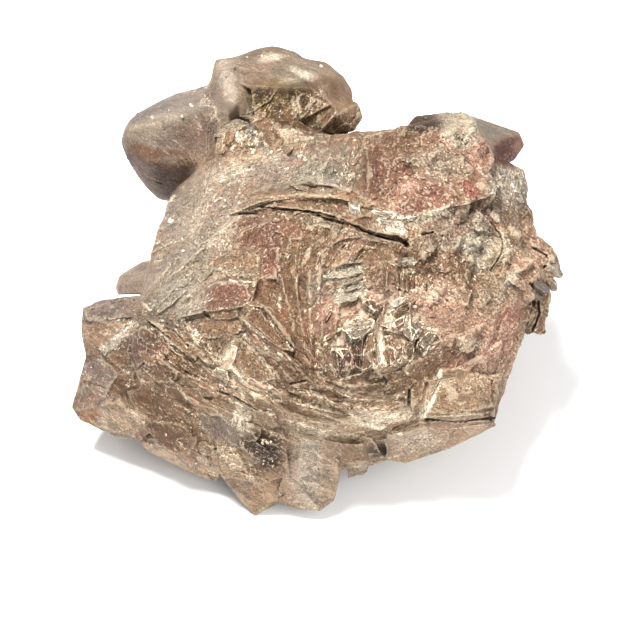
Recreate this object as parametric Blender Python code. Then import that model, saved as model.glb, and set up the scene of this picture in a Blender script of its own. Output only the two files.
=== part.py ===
"""A cluster of pyrite crystals that grew together, broken open across its front.

The cluster is one solid. Its sizes are real ones in millimetres, set out on the broken
face: u runs to the right, v up the face and w out of it. The last step leans the face
back onto the flat scar that the cluster rests on, and turns millimetres into metres.
"""

import math
import random

import bmesh
import bpy
from mathutils import Euler, Matrix, Vector
from mathutils.bvhtree import BVHTree

# Driving dimensions, in millimetres and degrees.
FACE_LEAN = 52.0  # angle of the face's outward direction above level
VIEW_DISTANCE = 300.0  # the face is set out as seen from a point this far in front
SCAR_DEPTH = 37.2  # how far below the face's centre the flat scar lies
FOOT = (1.6, -20.5)  # what brings the middle of the cluster's outline over the origin
ROSETTE = Vector((6.0, 2.0))  # the blades of the face stand round this point
SEED = 14

EYE = Vector((0.0, 0.0, VIEW_DISTANCE))
MM = 0.001

# The body behind the face, as corners (u, v, w) of its skin.
RIM = [
    (-24, 31, -9), (-16, 34, -7), (-4, 34.5, -4), (9, 37, 0), (16, 36.5, 0), (24, 39.5, -1),
    (31, 38.5, -4), (35, 34, -6), (40.5, 28, -9), (42, 19, -6), (44.5, 12, -5), (43.4, 5, -5),
    (41, -2.6, -4), (37.6, -8, -2), (35, -15.6, 0), (34.6, -20.6, -3), (26, -25, -6),
    (14, -28.4, -8), (4, -29.6, -7), (-7, -30.6, -7), (-21, -30, -10), (-33, -23.6, -9),
    (-36.6, -14, -6), (-38, -4, -8), (-35, 5, -8), (-33.5, 14, -11), (-32, 21, -13),
    (-28.5, 27.5, -12),
]
CROWN = [
    (-22, 20, 1), (-12, 26, 3), (-2, 28, 5), (8, 25, 8), (20, 27, 7), (30, 26, 4), (37, 18, 2),
    (36, 4, 4), (32, -8, 5), (27, -17, 5), (14, -20, 5), (2, -21, 6), (-12, -16, 7),
    (-24, -9, 5), (-28, 0, 1), (-26, 10, 1), (-14, 8, 9), (-4, 12, 12), (8, 12, 11),
    (20, 10, 10), (26, 0, 9), (16, -8, 10), (4, -8, 12), (-8, -4, 12),
]
BACK = [
    (-26, 22, -34), (-8, 30, -38), (12, 30, -38), (28, 22, -32), (36, 8, -30), (31, -12, -34),
    (16, -24, -32), (-12, -24, -32), (-29, -12, -34), (-31, 8, -36), (-14, 14, -48), (14, 14, -48),
    (-18, -8, -46), (18, -8, -46),
]

# Directions in which the blades of the face run: (u, v, degrees from +u).
FLOW = [
    (-27, 24, 52), (-16, 28, 30), (2, 31, 85), (-12, 23, 15), (0, 23, -12), (12, 18, -22),
    (-6, 10, 80), (-2, 3, 88), (4, 14, 60), (5, 9, 20), (-18, 4, 10), (-30, 6, 45),
    (-14, -2, -45), (-8, -6, -50), (-30, -6, -38), (-20, -14, -30), (-10, -18, -20),
    (2, -16, -12), (12, -18, 8), (18, -15, 30), (10, -4, 80), (28, -16, 6), (32, -6, 40),
    (28, 4, -10), (36, 6, -20), (20, 30, 60), (32, 34, 55), (38, 24, -70), (20, 12, -15),
]

# Crystals of the rim and of the far side, each by the corners (u, v, w) of its convex form.
CRYSTALS = {
    "thumb": [
        (-40.2, 35.4, -16), (-34, 31.4, -12), (-26, 31, -12), (-20, 31, -12), (-39.5, 39, -14),
        (-33, 39.5, -10), (-25, 41, -10), (-18, 42, -11), (-36, 42.4, -22), (-28, 46.4, -25),
        (-21, 47, -25), (-14, 45, -24), (-39, 36, -30), (-24, 42, -44), (-31, 22.6, -28),
        (-34.4, 25, -27), (-38, 30, -22), (-25, 25, -26), (-30, 26, -42), (-14, 34, -40),
    ],
    "crest_left": [
        (-22.5, 46, -24), (-21.2, 52.6, -24), (-17, 53, -22), (-17, 45, -16), (-19, 41, -17),
        (-13, 40, -18), (-10, 50, -20), (-20, 48, -36), (-12, 42, -38),
    ],
    "crest_top": [
        (-18, 52.8, -24), (-12.5, 54.8, -26), (-9, 55.4, -27), (-4.5, 54, -26), (-1, 51, -22),
        (-4, 46.5, -15), (-15, 46.5, -15), (-17, 48, -18), (-14, 46, -38), (-4, 44, -38),
    ],
    "crest_right": [
        (-3, 52.6, -24), (1.6, 52, -25), (4.8, 49, -24), (6.6, 46, -23), (6.8, 43, -20),
        (2, 43, -14), (-5, 46, -14), (-4, 40, -15), (5, 40, -34), (-4, 46, -36),
    ],
    "crest_face": [
        (-14, 47, -15), (-2, 47, -14), (5, 41, -15), (1, 36.5, -19), (-8, 36, -19), (-13, 40, -17),
        (-8, 40, -32),
    ],
    "crest_knob": [
        (3, 45, -18), (7.6, 43.6, -18), (8.6, 40.5, -19), (7, 38, -19), (3, 36.6, -20),
        (0, 38, -16), (3, 41, -13), (5, 40, -30),
    ],
    "step_left": [
        (-21, 39, -10), (-17, 40.6, -10), (-13, 39, -11), (-10, 35, -11), (-7, 32, -12),
        (-12, 31.5, -8), (-16, 32, -6), (-21, 32, -8), (-15, 36, -5), (-14, 36, -24),
    ],
    "step_right": [
        (-14.5, 41, -14), (-13, 36, -12), (-9, 34, -10), (-4, 35, -10), (1.5, 36.5, -12),
        (-4, 39.5, -16), (-11, 41, -17), (-6, 36, -26),
    ],
    "rear_right": [
        (17, 38, -14), (19, 41, -15), (28, 41.8, -16), (40, 37.6, -18), (41, 35, -17),
        (39, 32, -16), (36, 30.4, -12), (34, 35.5, -8), (18, 34, -30), (38, 33, -34), (30, 28, -34),
    ],
    "rear_sliver": [
        (17, 38.6, -9), (19, 41, -11), (24, 40.8, -11), (24, 38, -8), (18, 37, -20), (26, 37, -20),
    ],
    "left_small": [
        (-41, 6.4, -20), (-40.4, 9, -21), (-36, 11.6, -22), (-33, 12.4, -20), (-33, 5, -14),
        (-40.4, 5, -17), (-34, 9, -15), (-34, 7, -34),
    ],
    "left_upper": [
        (-47.6, 2.4, -14), (-44, 4, -15), (-37, 5, -12), (-31, 4, -7), (-33, -5, -4),
        (-38, -12, -7), (-46.8, -7.6, -13), (-47.8, -3, -14), (-44, 0, -9), (-38, 0, -34),
        (-38, -10, -32), (-28, 2, -20), (-30, -8, -16),
    ],
    "left_lower": [
        (-46.8, -7, -13), (-48.4, -13, -13), (-49.8, -17.6, -15), (-48, -20, -16), (-41, -23.4, -15),
        (-36, -24.2, -12), (-32, -21, -5), (-33, -9, -4), (-42, -9, -7), (-43, -17, -8),
        (-38, -12, -34), (-34, -20, -32), (-30, -10, -20),
    ],
    "dark_block": [
        (-37.6, -0.4, -7), (-34.6, 0.6, -4), (-29, -2, 1.4), (-26.6, -8, 2.6), (-28, -12.6, 2),
        (-36, -13, -2.6), (-38, -8, -5), (-32, -4, 1.6), (-32, -6, -14),
    ],
    "dark_facet": [
        (-38.5, -15, -5), (-34, -12, -1), (-21, -19, 1), (-20, -25, -4), (-24, -27.5, -8),
        (-30, -26.5, -8), (-35, -22, -7), (-28, -20, -28), (-22, -22, -26),
    ],
    "lower_fringe": [
        (-36.6, -23.4, -13), (-35, -26, -14), (-31, -28, -15), (-24, -31.4, -16),
        (-20.5, -32.4, -16), (-19, -29, -9), (-24, -27, -7), (-32, -24, -7), (-26, -24, -30),
        (-30, -18, -12),
    ],
    "dark_hollow_block": [
        (-21, -24, -3), (-16, -20, 2), (-7, -23, 3), (-6, -31, -3), (-12, -33, -6),
        (-20, -31, -7), (-12, -26, -26),
    ],
    "tip_left": [
        (-20, -31, -11), (-16.5, -35.6, -14), (-13, -39.2, -15), (-8.6, -36.8, -14), (-6, -33, -8),
        (-10, -29, -5), (-17, -29, -6), (-12, -30, -28),
    ],
    "tip_right": [
        (-9, -36.2, -12), (-4, -38, -12), (0, -38.3, -12), (2.7, -36.2, -11), (3.8, -32, -9),
        (4.5, -28, -4), (0, -24.5, 0), (-5, -25, 0), (-7.5, -31, -4), (-2, -30, -26),
    ],
    "pale_chip": [
        (5, -28, -12), (5.6, -31.6, -14), (9, -30.8, -14), (10.4, -28.4, -13), (9, -26, -12), (7, -27, -22),
    ],
    "lower_block": [
        (4, -22, 3), (10.5, -23.5, 3), (13, -27.6, -2), (9, -28.6, -4), (4, -29, -5), (8, -26, -18),
    ],
    "lower_band": [
        (13, -22.5, 3), (20, -20.5, 4), (34, -20, 1), (35.2, -21, -3), (33, -22.4, -5), (26, -25.8, -6),
        (17, -28.8, -7), (13, -28, -4), (24, -20, -20),
    ],
    "side_block": [
        (36, 17, 1), (44, 17, -4), (47.8, 13, -6), (48, 10, -7), (45.5, 6, -5), (40, 6, 2),
        (36, 9, 3), (42, 12, -20),
    ],
    "side_plate_upper": [
        (42.5, 6.4, -3), (46.2, 6.2, -6), (45.6, 0.5, -7), (40.5, 1, -3), (38, 4, -18),
    ],
    "side_plate_lower": [
        (41, 2.2, -3.4), (45.4, 1.2, -7), (45, -2.6, -8), (41.5, -3.2, -5), (38, 0, -18),
    ],
    "upper_right_rim": [
        (34, 34, -3), (41, 30, -8), (41.6, 26, -8), (42.2, 20, -7), (38, 17, 2), (33, 22, 4),
        (36, 26, -22),
    ],
    "raised_block": [
        (9, 37, 1), (16, 37.2, 2), (24, 40.6, 0), (31, 39.8, -2), (35, 34.6, -3), (33, 24, 7),
        (26, 22, 9), (14, 20.5, 10.5), (9.4, 24, 9), (18, 32, -20),
    ],
    "blade_block": [
        (-23.4, 6.4, 5), (-20.4, 7.8, 8), (-12, 8, 11.5), (-13.5, 3.8, 11.5), (-16, 0.4, 9),
        (-21, 0, 7), (-23.2, 2, 5), (-17, 4, -8),
    ],
    "wedge": [
        (24, -11.5, 8.5), (36.6, -10.5, 3), (35, -19, 3), (20.4, -19.6, 7.5), (30, -19.2, 8),
        (27, -15, 10), (30, -15, -8),
    ],
}

# Small crystals that stand in the middle of the face: (u, v, size, turn, tilt, spin).
MIDDLE = [
    (10.4, 3.0, 4.6, 45, 50, 20), (15.6, 3.2, 4.2, 25, 35, 60), (7.4, -2.0, 6.2, 15, 30, 10),
    (5.0, -7.0, 4.8, 80, 25, 30), (14.4, -0.4, 4.4, 10, 40, 75), (18.4, -2.2, 5.0, 40, 20, 45),
    (21.6, -5.0, 4.6, 30, 45, 15), (14.6, -6.0, 5.0, 85, 20, 70), (10.2, -7.4, 6.0, 70, 30, 50),
    (24.4, -3.6, 3.4, 20, 30, 80), (28.8, -4.2, 3.6, 60, 25, 35), (17.6, -8.6, 3.6, 75, 35, 5),
]

# Broken layers: track of the standing edge (u, v), width behind it and rise above the face.
LAYERS = {
    "arch_outer": ([(-18, 21), (-12, 23.5), (-4, 24.6), (4, 24.2), (10, 22.4)], 5.0, 2.2),
    "arch_ridge": ([(-10, 25.6), (-4, 27.2), (2, 26.8), (6, 25.6), (11, 22.8)], 5.0, 2.0),
    "arch_main": (
        [(-17.6, 21.2), (-9, 22.6), (-2, 21.8), (5, 19.6), (11, 17.4), (17, 15.4)], 4.5, 1.5,
    ),
    "fold_right": ([(12, 19.8), (19, 20.4), (24, 21.6), (27, 23.4)], 5.0, 2.2),
    "petal_1": ([(1, -13), (6, -15.4), (12, -16), (17, -15)], 4.0, 2.0),
    "petal_2": ([(-6, -13), (0, -15), (6, -18), (13, -18.4), (16.4, -16.4)], 4.0, 2.2),
    "petal_3": ([(-7, -16), (0, -18.4), (5, -20.4), (10, -21)], 4.0, 2.2),
    "petal_4": ([(-17, -13), (-11, -16), (-6, -19), (2, -21), (7, -22)], 4.0, 2.0),
    "petal_5": ([(4, -11.6), (9, -10.4), (14, -9.4), (18, -11)], 3.6, 1.4),
    "step_1": ([(-37, -3), (-31, -8.4), (-24, -13), (-15, -17.6)], 4.0, 2.0),
    "step_2": ([(-35, 0), (-28, -5.6), (-21, -11), (-13, -15)], 4.0, 1.8),
    "step_3": ([(-30, -2), (-23, -7), (-18, -10.4)], 3.6, 1.6),
    "step_4": ([(-32, -12), (-24, -16.4), (-16, -20.4), (-8, -22.6)], 4.0, 1.8),
    "slab_1": ([(-15.6, 0.6), (-10, -4), (-4, -9.4)], 3.6, 2.4),
    "slab_2": ([(-16, -3), (-11, -6.4), (-5, -10)], 3.2, 1.6),
    "slab_3": ([(-12, 3.6), (-7, -1.4), (-3, -8)], 3.0, 1.8),
    "bowl_edge": ([(-16, -5), (-17.6, -9), (-15, -13), (-10, -15.4)], 3.4, 1.4),
    "ray_1": ([(-7.6, 17), (-7.4, 8), (-4.6, -4)], 2.6, 1.6),
    "ray_2": ([(-4.6, 16), (-4.4, 6), (-2.8, -6)], 2.4, 1.8),
    "ray_3": ([(-1.4, 17), (-2, 8), (-1.6, -6)], 2.4, 1.5),
    "ray_4": ([(3, 17), (0.6, 11), (-0.4, 3)], 2.6, 1.6),
    "leaf_1": ([(-0.6, 9.4), (4, 11), (8.6, 11.6)], 3.0, 1.5),
    "leaf_2": ([(0.8, 5), (5, 7), (8.6, 8.4)], 3.0, 1.5),
    "leaf_3": ([(0, 13), (4, 16), (8, 16.6)], 3.0, 1.3),
    "wedge_1": ([(20.4, -19.4), (27, -18.8), (34.8, -18.4)], 3.0, 1.2),
    "wedge_2": ([(22.4, -15.4), (29, -14.4), (35.4, -14)], 3.0, 1.2),
    "wedge_side": ([(20.6, -19), (22.4, -15), (24.4, -11.4)], 4.0, 1.4),
    "block_side": ([(9, 23.6), (9.8, 30), (8.6, 36.6)], 4.0, 1.5),
}

# Cracks: track (u, v), width at the face and depth.
CRACKS = {
    "arch": (
        [(-9, 22.4), (-2, 21.5), (5, 19.2), (11, 17), (17, 15.2), (17.8, 14.2)], 1.1, 7.0,
    ),
    "arch_left": ([(-16, 21.4), (-12, 21.7), (-8, 22)], 0.5, 3.0),
    "right": ([(33.6, 19.4), (36, 16.4), (37.2, 14), (36, 11), (34, 8)], 1.1, 5.0),
    "right_small": ([(20.4, 17), (23.4, 17.6), (26, 19)], 0.6, 3.0),
    "side": ([(43.6, 7.4), (42.8, 3.6), (41.6, 0), (41, -3.4)], 1.0, 6.0),
}


def seen(u, v, w):
    """The point at depth w that is seen at (u, v)."""
    reach = (VIEW_DISTANCE - w) / VIEW_DISTANCE
    return Vector((u * reach, v * reach, w))


def convex(points):
    """A closed convex mesh round the points."""
    form = bmesh.new()
    for point in points:
        form.verts.new(point)
    hull = bmesh.ops.convex_hull(form, input=form.verts)
    loose = {g for g in hull["geom_interior"] + hull["geom_unused"] if isinstance(g, bmesh.types.BMVert)}
    bmesh.ops.delete(form, geom=list(loose), context="VERTS")
    bmesh.ops.recalc_face_normals(form, faces=form.faces)
    return form


def swept(sections):
    """A closed mesh through sections that all have the same number of corners."""
    form = bmesh.new()
    rings = []
    for section in sections:
        corners = [form.verts.new(p) for p in section]
        rings.append([form.edges.new((a, b)) for a, b in zip(corners, corners[1:] + corners[:1])])
    for near, far in zip(rings, rings[1:]):
        bmesh.ops.bridge_loops(form, edges=near + far)
    bmesh.ops.holes_fill(form, edges=form.edges, sides=0)
    bmesh.ops.recalc_face_normals(form, faces=form.faces)
    bmesh.ops.triangulate(form, faces=form.faces)
    return form


class Face:
    """The broken face: the front of the body and of the crystals that stand out of it."""

    def __init__(self, forms):
        corners = []
        polygons = []
        for form in forms:
            form.verts.index_update()
            first = len(corners)
            corners += [vert.co.copy() for vert in form.verts]
            polygons += [[first + vert.index for vert in face.verts] for face in form.faces]
        self.tree = BVHTree.FromPolygons(corners, polygons)

    def point(self, u, v, lift=0.0):
        """The point of the face that is seen at (u, v), raised by lift towards the eye."""
        ray = (seen(u, v, 0) - EYE).normalized()
        place = self.tree.ray_cast(EYE, ray)[0]
        if place is None:
            place = seen(u, v, -8)
        return place - ray * lift


def flow(u, v):
    """The unit direction (u, v) in which the blades run there."""
    total = Vector((0.0, 0.0))
    for fu, fv, degrees in FLOW:
        weight = 1.0 / ((u - fu) ** 2 + (v - fv) ** 2 + 4.0) ** 1.5
        doubled = 2.0 * math.radians(degrees)
        total += weight * Vector((math.cos(doubled), math.sin(doubled)))
    angle = 0.5 * math.atan2(total.y, total.x)
    return Vector((math.cos(angle), math.sin(angle)))


def layer(face, track, width, rise, facing=1):
    """A broken layer: a steep edge on the track, and a top that dips away behind it.

    The edge faces the rosette's centre, or away from it where facing is -1.
    """
    track = [Vector(p) for p in track]
    last = len(track) - 1
    chord = (track[-1] - track[0]).normalized()
    side = Vector((-chord.y, chord.x)) * facing
    if side.dot(ROSETTE - track[last // 2]) * facing < 0:
        side = -side
    sections = []
    for i, place in enumerate(track):
        along = (track[min(i + 1, last)] - track[max(i - 1, 0)]).normalized()
        across = Vector((-along.y, along.x))
        across = across if across.dot(side) > 0 else -across
        share = 0.45 if i in (0, last) else 1.0
        back = place - across * width * (0.6 + 0.4 * share)
        foot = place + across * 0.25 * rise
        sections.append([
            face.point(place.x, place.y, rise * share),
            face.point(foot.x, foot.y, -4.0),
            face.point(place.x, place.y, -8.0),
            face.point(back.x, back.y, -1.6),
        ])
    return swept(sections)


def crack(face, track, width, depth):
    """A wedge that opens a crack along the track."""
    track = [Vector(p) for p in track]
    last = len(track) - 1
    sections = []
    for i, place in enumerate(track):
        along = (track[min(i + 1, last)] - track[max(i - 1, 0)]).normalized()
        half = Vector((-along.y, along.x)) * width * (0.2 if i in (0, last) else 0.5)
        reach = depth * (0.4 if i in (0, last) else 1.0)
        sections.append([
            face.point(place.x + half.x, place.y + half.y, 5.0),
            face.point(place.x - half.x, place.y - half.y, 5.0),
            face.point(place.x, place.y, -reach),
        ])
    return swept(sections)


def cube_crystal(centre, size, turn, tilt, spin):
    """A small cube, turned to stand on the face at random angles."""
    form = bmesh.new()
    bmesh.ops.create_cube(form, size=size)
    turned = Euler(tuple(map(math.radians, (tilt, turn * 0.5, spin))), "XYZ").to_matrix().to_4x4()
    bmesh.ops.transform(form, matrix=Matrix.Translation(centre) @ turned, verts=form.verts)
    return form


def within_face(u, v, margin):
    """Whether (u, v) lies within the rim, clear of it by a share of its reach."""
    centre = Vector((3.0, 4.0))
    place = centre + (Vector((u, v)) - centre) / (1.0 - margin)
    inside = False
    for (au, av, _), (bu, bv, _) in zip(RIM, RIM[1:] + RIM[:1]):
        if (av > place.y) != (bv > place.y):
            if place.x < au + (bu - au) * (place.y - av) / (bv - av):
                inside = not inside
    return inside


def on_block(u, v):
    """Whether (u, v) lies on the granular block at the right of the face."""
    return u > 11 and v > 1 + 0.4 * max(0.0, 20 - u)


def loose_blades(face, dice):
    """Blades along the flow, at jittered places over the leafy part of the face."""
    made = []
    for row in range(-5, 7):
        for column in range(-7, 7):
            u = 6.0 * column + dice.uniform(-2, 2)
            v = 5.6 * row + dice.uniform(-2, 2)
            on_wedge = u > 19 and v < -9
            if not within_face(u, v, 0.14) or on_block(u, v) or on_wedge:
                continue
            length = dice.uniform(7, 12)
            start = Vector((u, v)) - flow(u, v) * length / 2
            middle = start + flow(*start) * length / 2
            end = middle + flow(*middle) * length / 2
            facing = -1 if v > 14 + 0.5 * u and u < 0 else 1
            track = [start, middle, end]
            made.append(layer(face, track, dice.uniform(4, 6), dice.uniform(0.7, 2.0), facing))
    return made


def lump(centre, size, dice):
    """A blunt many-sided grain."""
    corners = []
    for _ in range(9):
        spoke = Vector([dice.gauss(0, 1) for _ in range(3)]).normalized()
        corners.append(centre + spoke * size * dice.uniform(0.8, 1.1))
    return convex(corners)


def block_grains(face, dice):
    """Grains that make the block at the right rough."""
    made = []
    for row in range(0, 8):
        for column in range(2, 9):
            u = 5.4 * column + dice.uniform(-1.6, 1.6)
            v = 5.2 * row + dice.uniform(-1.6, 1.6)
            if not within_face(u, v, 0.06) or not on_block(u, v):
                continue
            size = dice.uniform(2.6, 4.6)
            made.append(lump(face.point(u, v, -0.45 * size), size, dice))
    return made


def rear_crystals(dice):
    """Blunt cubes that cover the far side of the body and stay behind its rim."""
    made = []
    count = 30
    for i in range(count):
        polar = math.acos(1 - 0.93 * (i + 0.5) / count)
        azimuth = i * math.radians(137.5)
        outward = Vector((
            math.sin(polar) * math.cos(azimuth),
            math.sin(polar) * math.sin(azimuth),
            -math.cos(polar),
        ))
        size = dice.uniform(6.5, 10)
        turn = Euler([dice.uniform(0, math.tau) for _ in range(3)]).to_matrix()
        roof = dice.uniform(0.05, 0.35)
        corners = [Vector((x, y, z)) for x in (-1, 1) for y in (-1, 1) for z in (-1, 1)]
        for axis in range(3):
            for high in (-1, 1):
                for end in (-1, 1):
                    ridge = Vector((0.0, 0.0, 0.0))
                    ridge[axis] = high * (1 + roof)
                    ridge[(axis + 1) % 3] = end * (1 - roof * 1.2)
                    corners.append(ridge)
        corners = [turn @ corner * size for corner in corners]
        reach = 1.0
        while reach > 0.3:
            centre = Vector((outward.x * 38 * reach, outward.y * 29 * reach + 4, outward.z * 34 - 13))
            placed = [centre + corner for corner in corners]
            if all(within_face(*(p.xy * (1 + p.z / (VIEW_DISTANCE - p.z))), 0.03) for p in placed):
                made.append(convex(placed))
                break
            reach -= 0.04
    return made


def roughened(form, dice):
    """The body's skin, cut finer and jittered so that no large face is flat."""
    bmesh.ops.triangulate(form, faces=form.faces)
    bmesh.ops.subdivide_edges(form, edges=form.edges, cuts=1, use_grid_fill=True)
    for vert in form.verts:
        vert.co += Vector([dice.uniform(-0.5, 0.5) for _ in range(3)])
    bmesh.ops.triangulate(form, faces=form.faces)
    return form


def add_object(name, form, collection, helper):
    """An object of the form, in the collection."""
    mesh = bpy.data.meshes.new(name)
    form.to_mesh(mesh)
    form.free()
    made = bpy.data.objects.new(name, mesh)
    collection.objects.link(made)
    if helper:
        made.hide_render = True
        made.display_type = "WIRE"
    return made


def add_boolean(target, name, operation, collection):
    """A Boolean on the target with every object of the collection."""
    modifier = target.modifiers.new(name, "BOOLEAN")
    modifier.operation = operation
    modifier.solver = "EXACT"
    modifier.operand_type = "COLLECTION"
    modifier.collection = collection


def pyrite():
    """Tarnished pyrite: brown brass, half bright."""
    material = bpy.data.materials.new("tarnished_pyrite")
    material.use_nodes = True
    shader = material.node_tree.nodes["Principled BSDF"]
    shader.inputs["Base Color"].default_value = (0.33, 0.23, 0.16, 1)
    shader.inputs["Metallic"].default_value = 0.7
    shader.inputs["Roughness"].default_value = 0.45
    return material


def main():
    for old in list(bpy.data.objects):
        bpy.data.objects.remove(old)
    scene = bpy.context.scene
    grown = bpy.data.collections.new("grown_on")
    broken = bpy.data.collections.new("broken_off")
    for helper in (grown, broken):
        scene.collection.children.link(helper)

    dice = random.Random(SEED)
    body = roughened(convex([seen(*p) for p in RIM + CROWN + BACK]), dice)
    crystals = {name: convex([seen(*p) for p in corners]) for name, corners in CRYSTALS.items()}
    face = Face([body, *crystals.values()])
    upright = Matrix.Rotation(math.radians(90.0 - FACE_LEAN), 4, "X")
    stand = Matrix.Diagonal((MM, MM, MM, 1.0)) @ Matrix.Translation((*FOOT, SCAR_DEPTH)) @ upright

    forms = list(crystals.items())
    forms += [
        (f"middle_{i}", cube_crystal(face.point(u, v, -0.12 * size), size, turn, tilt, spin))
        for i, (u, v, size, turn, tilt, spin) in enumerate(MIDDLE)
    ]
    forms += [(name, layer(face, *shape)) for name, shape in LAYERS.items()]
    forms += [(f"blade_{i}", form) for i, form in enumerate(loose_blades(face, dice))]
    forms += [(f"grain_{i}", form) for i, form in enumerate(block_grains(face, dice))]
    forms += [(f"rear_{i}", form) for i, form in enumerate(rear_crystals(dice))]
    for name, form in forms:
        bmesh.ops.transform(form, matrix=stand, verts=form.verts)
        add_object(name, form, grown, helper=True)
    for name, shape in CRACKS.items():
        form = crack(face, *shape)
        bmesh.ops.transform(form, matrix=stand, verts=form.verts)
        add_object(f"crack_{name}", form, broken, helper=True)

    ground = bmesh.new()
    bmesh.ops.create_cube(ground, size=1.0)
    bmesh.ops.transform(ground, matrix=Matrix.Diagonal((0.3, 0.3, 0.1, 1.0)), verts=ground.verts)
    bmesh.ops.translate(ground, vec=(0, 0, -0.05), verts=ground.verts)
    add_object("ground_cut", ground, broken, helper=True)

    bmesh.ops.transform(body, matrix=stand, verts=body.verts)
    cluster = add_object("pyrite_cluster", body, scene.collection, helper=False)
    cluster.data.materials.append(pyrite())
    add_boolean(cluster, "grow", "UNION", grown)
    add_boolean(cluster, "break", "DIFFERENCE", broken)


main()
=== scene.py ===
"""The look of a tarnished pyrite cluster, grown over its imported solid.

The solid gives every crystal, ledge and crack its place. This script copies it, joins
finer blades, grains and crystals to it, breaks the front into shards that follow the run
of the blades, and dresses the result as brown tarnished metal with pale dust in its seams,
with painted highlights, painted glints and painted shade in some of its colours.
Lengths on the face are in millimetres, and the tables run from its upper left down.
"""

import logging
import math
import random
from dataclasses import dataclass, field
from enum import Enum

import bmesh
import bpy
import numpy as np
from bpy.types import Mesh, Object
from mathutils import Matrix, Vector
from mathutils.bvhtree import BVHTree
from mathutils.geometry import convex_hull_2d


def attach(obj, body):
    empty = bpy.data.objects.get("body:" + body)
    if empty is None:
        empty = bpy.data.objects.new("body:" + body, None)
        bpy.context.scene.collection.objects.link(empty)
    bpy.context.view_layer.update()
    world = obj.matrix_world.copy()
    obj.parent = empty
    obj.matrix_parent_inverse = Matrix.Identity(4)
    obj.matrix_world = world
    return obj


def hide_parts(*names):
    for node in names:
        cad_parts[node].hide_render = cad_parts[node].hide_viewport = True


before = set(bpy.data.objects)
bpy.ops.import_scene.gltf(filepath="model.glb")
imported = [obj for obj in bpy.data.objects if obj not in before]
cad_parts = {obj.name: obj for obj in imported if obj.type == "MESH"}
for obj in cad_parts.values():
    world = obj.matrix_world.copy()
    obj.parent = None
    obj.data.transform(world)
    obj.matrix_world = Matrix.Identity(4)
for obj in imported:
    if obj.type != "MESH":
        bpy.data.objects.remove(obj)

MM = 0.001
FAR = 1e9
FACET_LIFT = 0.38
LEAST_POINTS = 50
WEAR_LEVELS = 24
WEAR_REACH = 75.0
SHARP = math.radians(32.0)
ROOT = 3.2
TONE_APART = 40.0
# the direction of the painted light on the crystals' broad faces
PAINTED_LIGHT_FROM = Vector((-0.3, 0.72, 0.62))
NODE = "pyrite_cluster"
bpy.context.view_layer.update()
log = logging.getLogger("pyrite")
Track = tuple[tuple[float, float], ...]


# ---------------- the face and its frame


@dataclass(frozen=True)
class FaceFrame:
    """The broken face's own axes: u to the right, v up the face, w out of it, in mm."""

    lean: float = 52.0
    foot: tuple[float, float] = (1.6, -20.5)
    height: float = 37.2
    eye: float = 300.0

    def axes(self) -> np.ndarray:
        """The directions of u, v and w in the world, as rows."""
        lean = math.radians(self.lean)
        return np.array([
            (1.0, 0.0, 0.0),
            (0.0, math.sin(lean), math.cos(lean)),
            (0.0, -math.cos(lean), math.sin(lean)),
        ])

    def centre(self) -> np.ndarray:
        """The face's centre in the world, in metres."""
        return np.array((*self.foot, self.height)) * MM

    def matrix(self) -> Matrix:
        """The turn, scale and shift from (u, v, w) in millimetres to the world."""
        turn = Matrix([list(row) for row in (self.axes().T * MM)]).to_4x4()
        return Matrix.Translation(Vector(self.centre())) @ turn

    def local(self, world: np.ndarray) -> np.ndarray:
        """World points in metres as (u, v, w) in millimetres."""
        return (world - self.centre()) @ self.axes().T / MM

    def world(self, local: np.ndarray) -> np.ndarray:
        """Points (u, v, w) in millimetres as world points in metres."""
        return local * MM @ self.axes() + self.centre()

    def seen(self, local: np.ndarray) -> tuple[np.ndarray, np.ndarray]:
        """Where points are seen on the face's plane from the eye in front of it.

        Args:
            local: points (u, v, w) in millimetres.

        Returns:
            The two coordinates on the plane, u and v.
        """
        reach = self.eye / (self.eye - local[:, 2])
        return local[:, 0] * reach, local[:, 1] * reach


FACE = FaceFrame()


def ramp(low: float, high: float, value: np.ndarray) -> np.ndarray:
    """A smooth step from 0 at low to 1 at high."""
    share = np.clip((value - low) / (high - low), 0.0, 1.0)
    return share * share * (3.0 - 2.0 * share)


def waves(points: np.ndarray, size: float, seed: int) -> np.ndarray:
    """Soft random swells over points, about -1 to 1.

    Args:
        points: one row for each point, in mm.
        size: the length of a swell in mm.
        seed: the seed of their directions.

    Returns:
        One number for each point.
    """
    dice = np.random.default_rng(seed)
    total = np.zeros(len(points))
    for _ in range(14):
        heading = dice.normal(0.0, 1.0, points.shape[1])
        heading *= dice.uniform(0.6, 1.6) * 2.0 * math.pi / size / np.linalg.norm(heading)
        total += np.sin(points @ heading + dice.uniform(0.0, 2.0 * math.pi))
    return total / 4.0


# ---------------- regions of the face


@dataclass(frozen=True)
class Spot:
    """A soft oval on the face, in mm, turned by degrees, with its fade and full strength."""

    u: float
    v: float
    across: float
    up: float
    turn: float = 0.0
    fade: float = 0.5
    full: float = 1.0

    def cover(self, u: np.ndarray, v: np.ndarray) -> np.ndarray:
        """How much the oval covers each place, from 0 to 1.

        Args:
            u, v: places on the face.

        Returns:
            The cover of each place.
        """
        turn = math.radians(self.turn)
        du, dv = u - self.u, v - self.v
        along = (du * math.cos(turn) + dv * math.sin(turn)) / self.across
        over = (-du * math.sin(turn) + dv * math.cos(turn)) / self.up
        return ramp(1.0 + self.fade, 1.0 - self.fade, np.hypot(along, over)) * self.full


def joined(spots: tuple[Spot, ...], u: np.ndarray, v: np.ndarray) -> np.ndarray:
    """The cover of several ovals together.

    Args:
        spots: the ovals.
        u, v: places on the face.

    Returns:
        The cover of each place.
    """
    cover = np.zeros_like(u)
    for spot in spots:
        cover = np.maximum(cover, spot.cover(u, v))
    return cover


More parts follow.
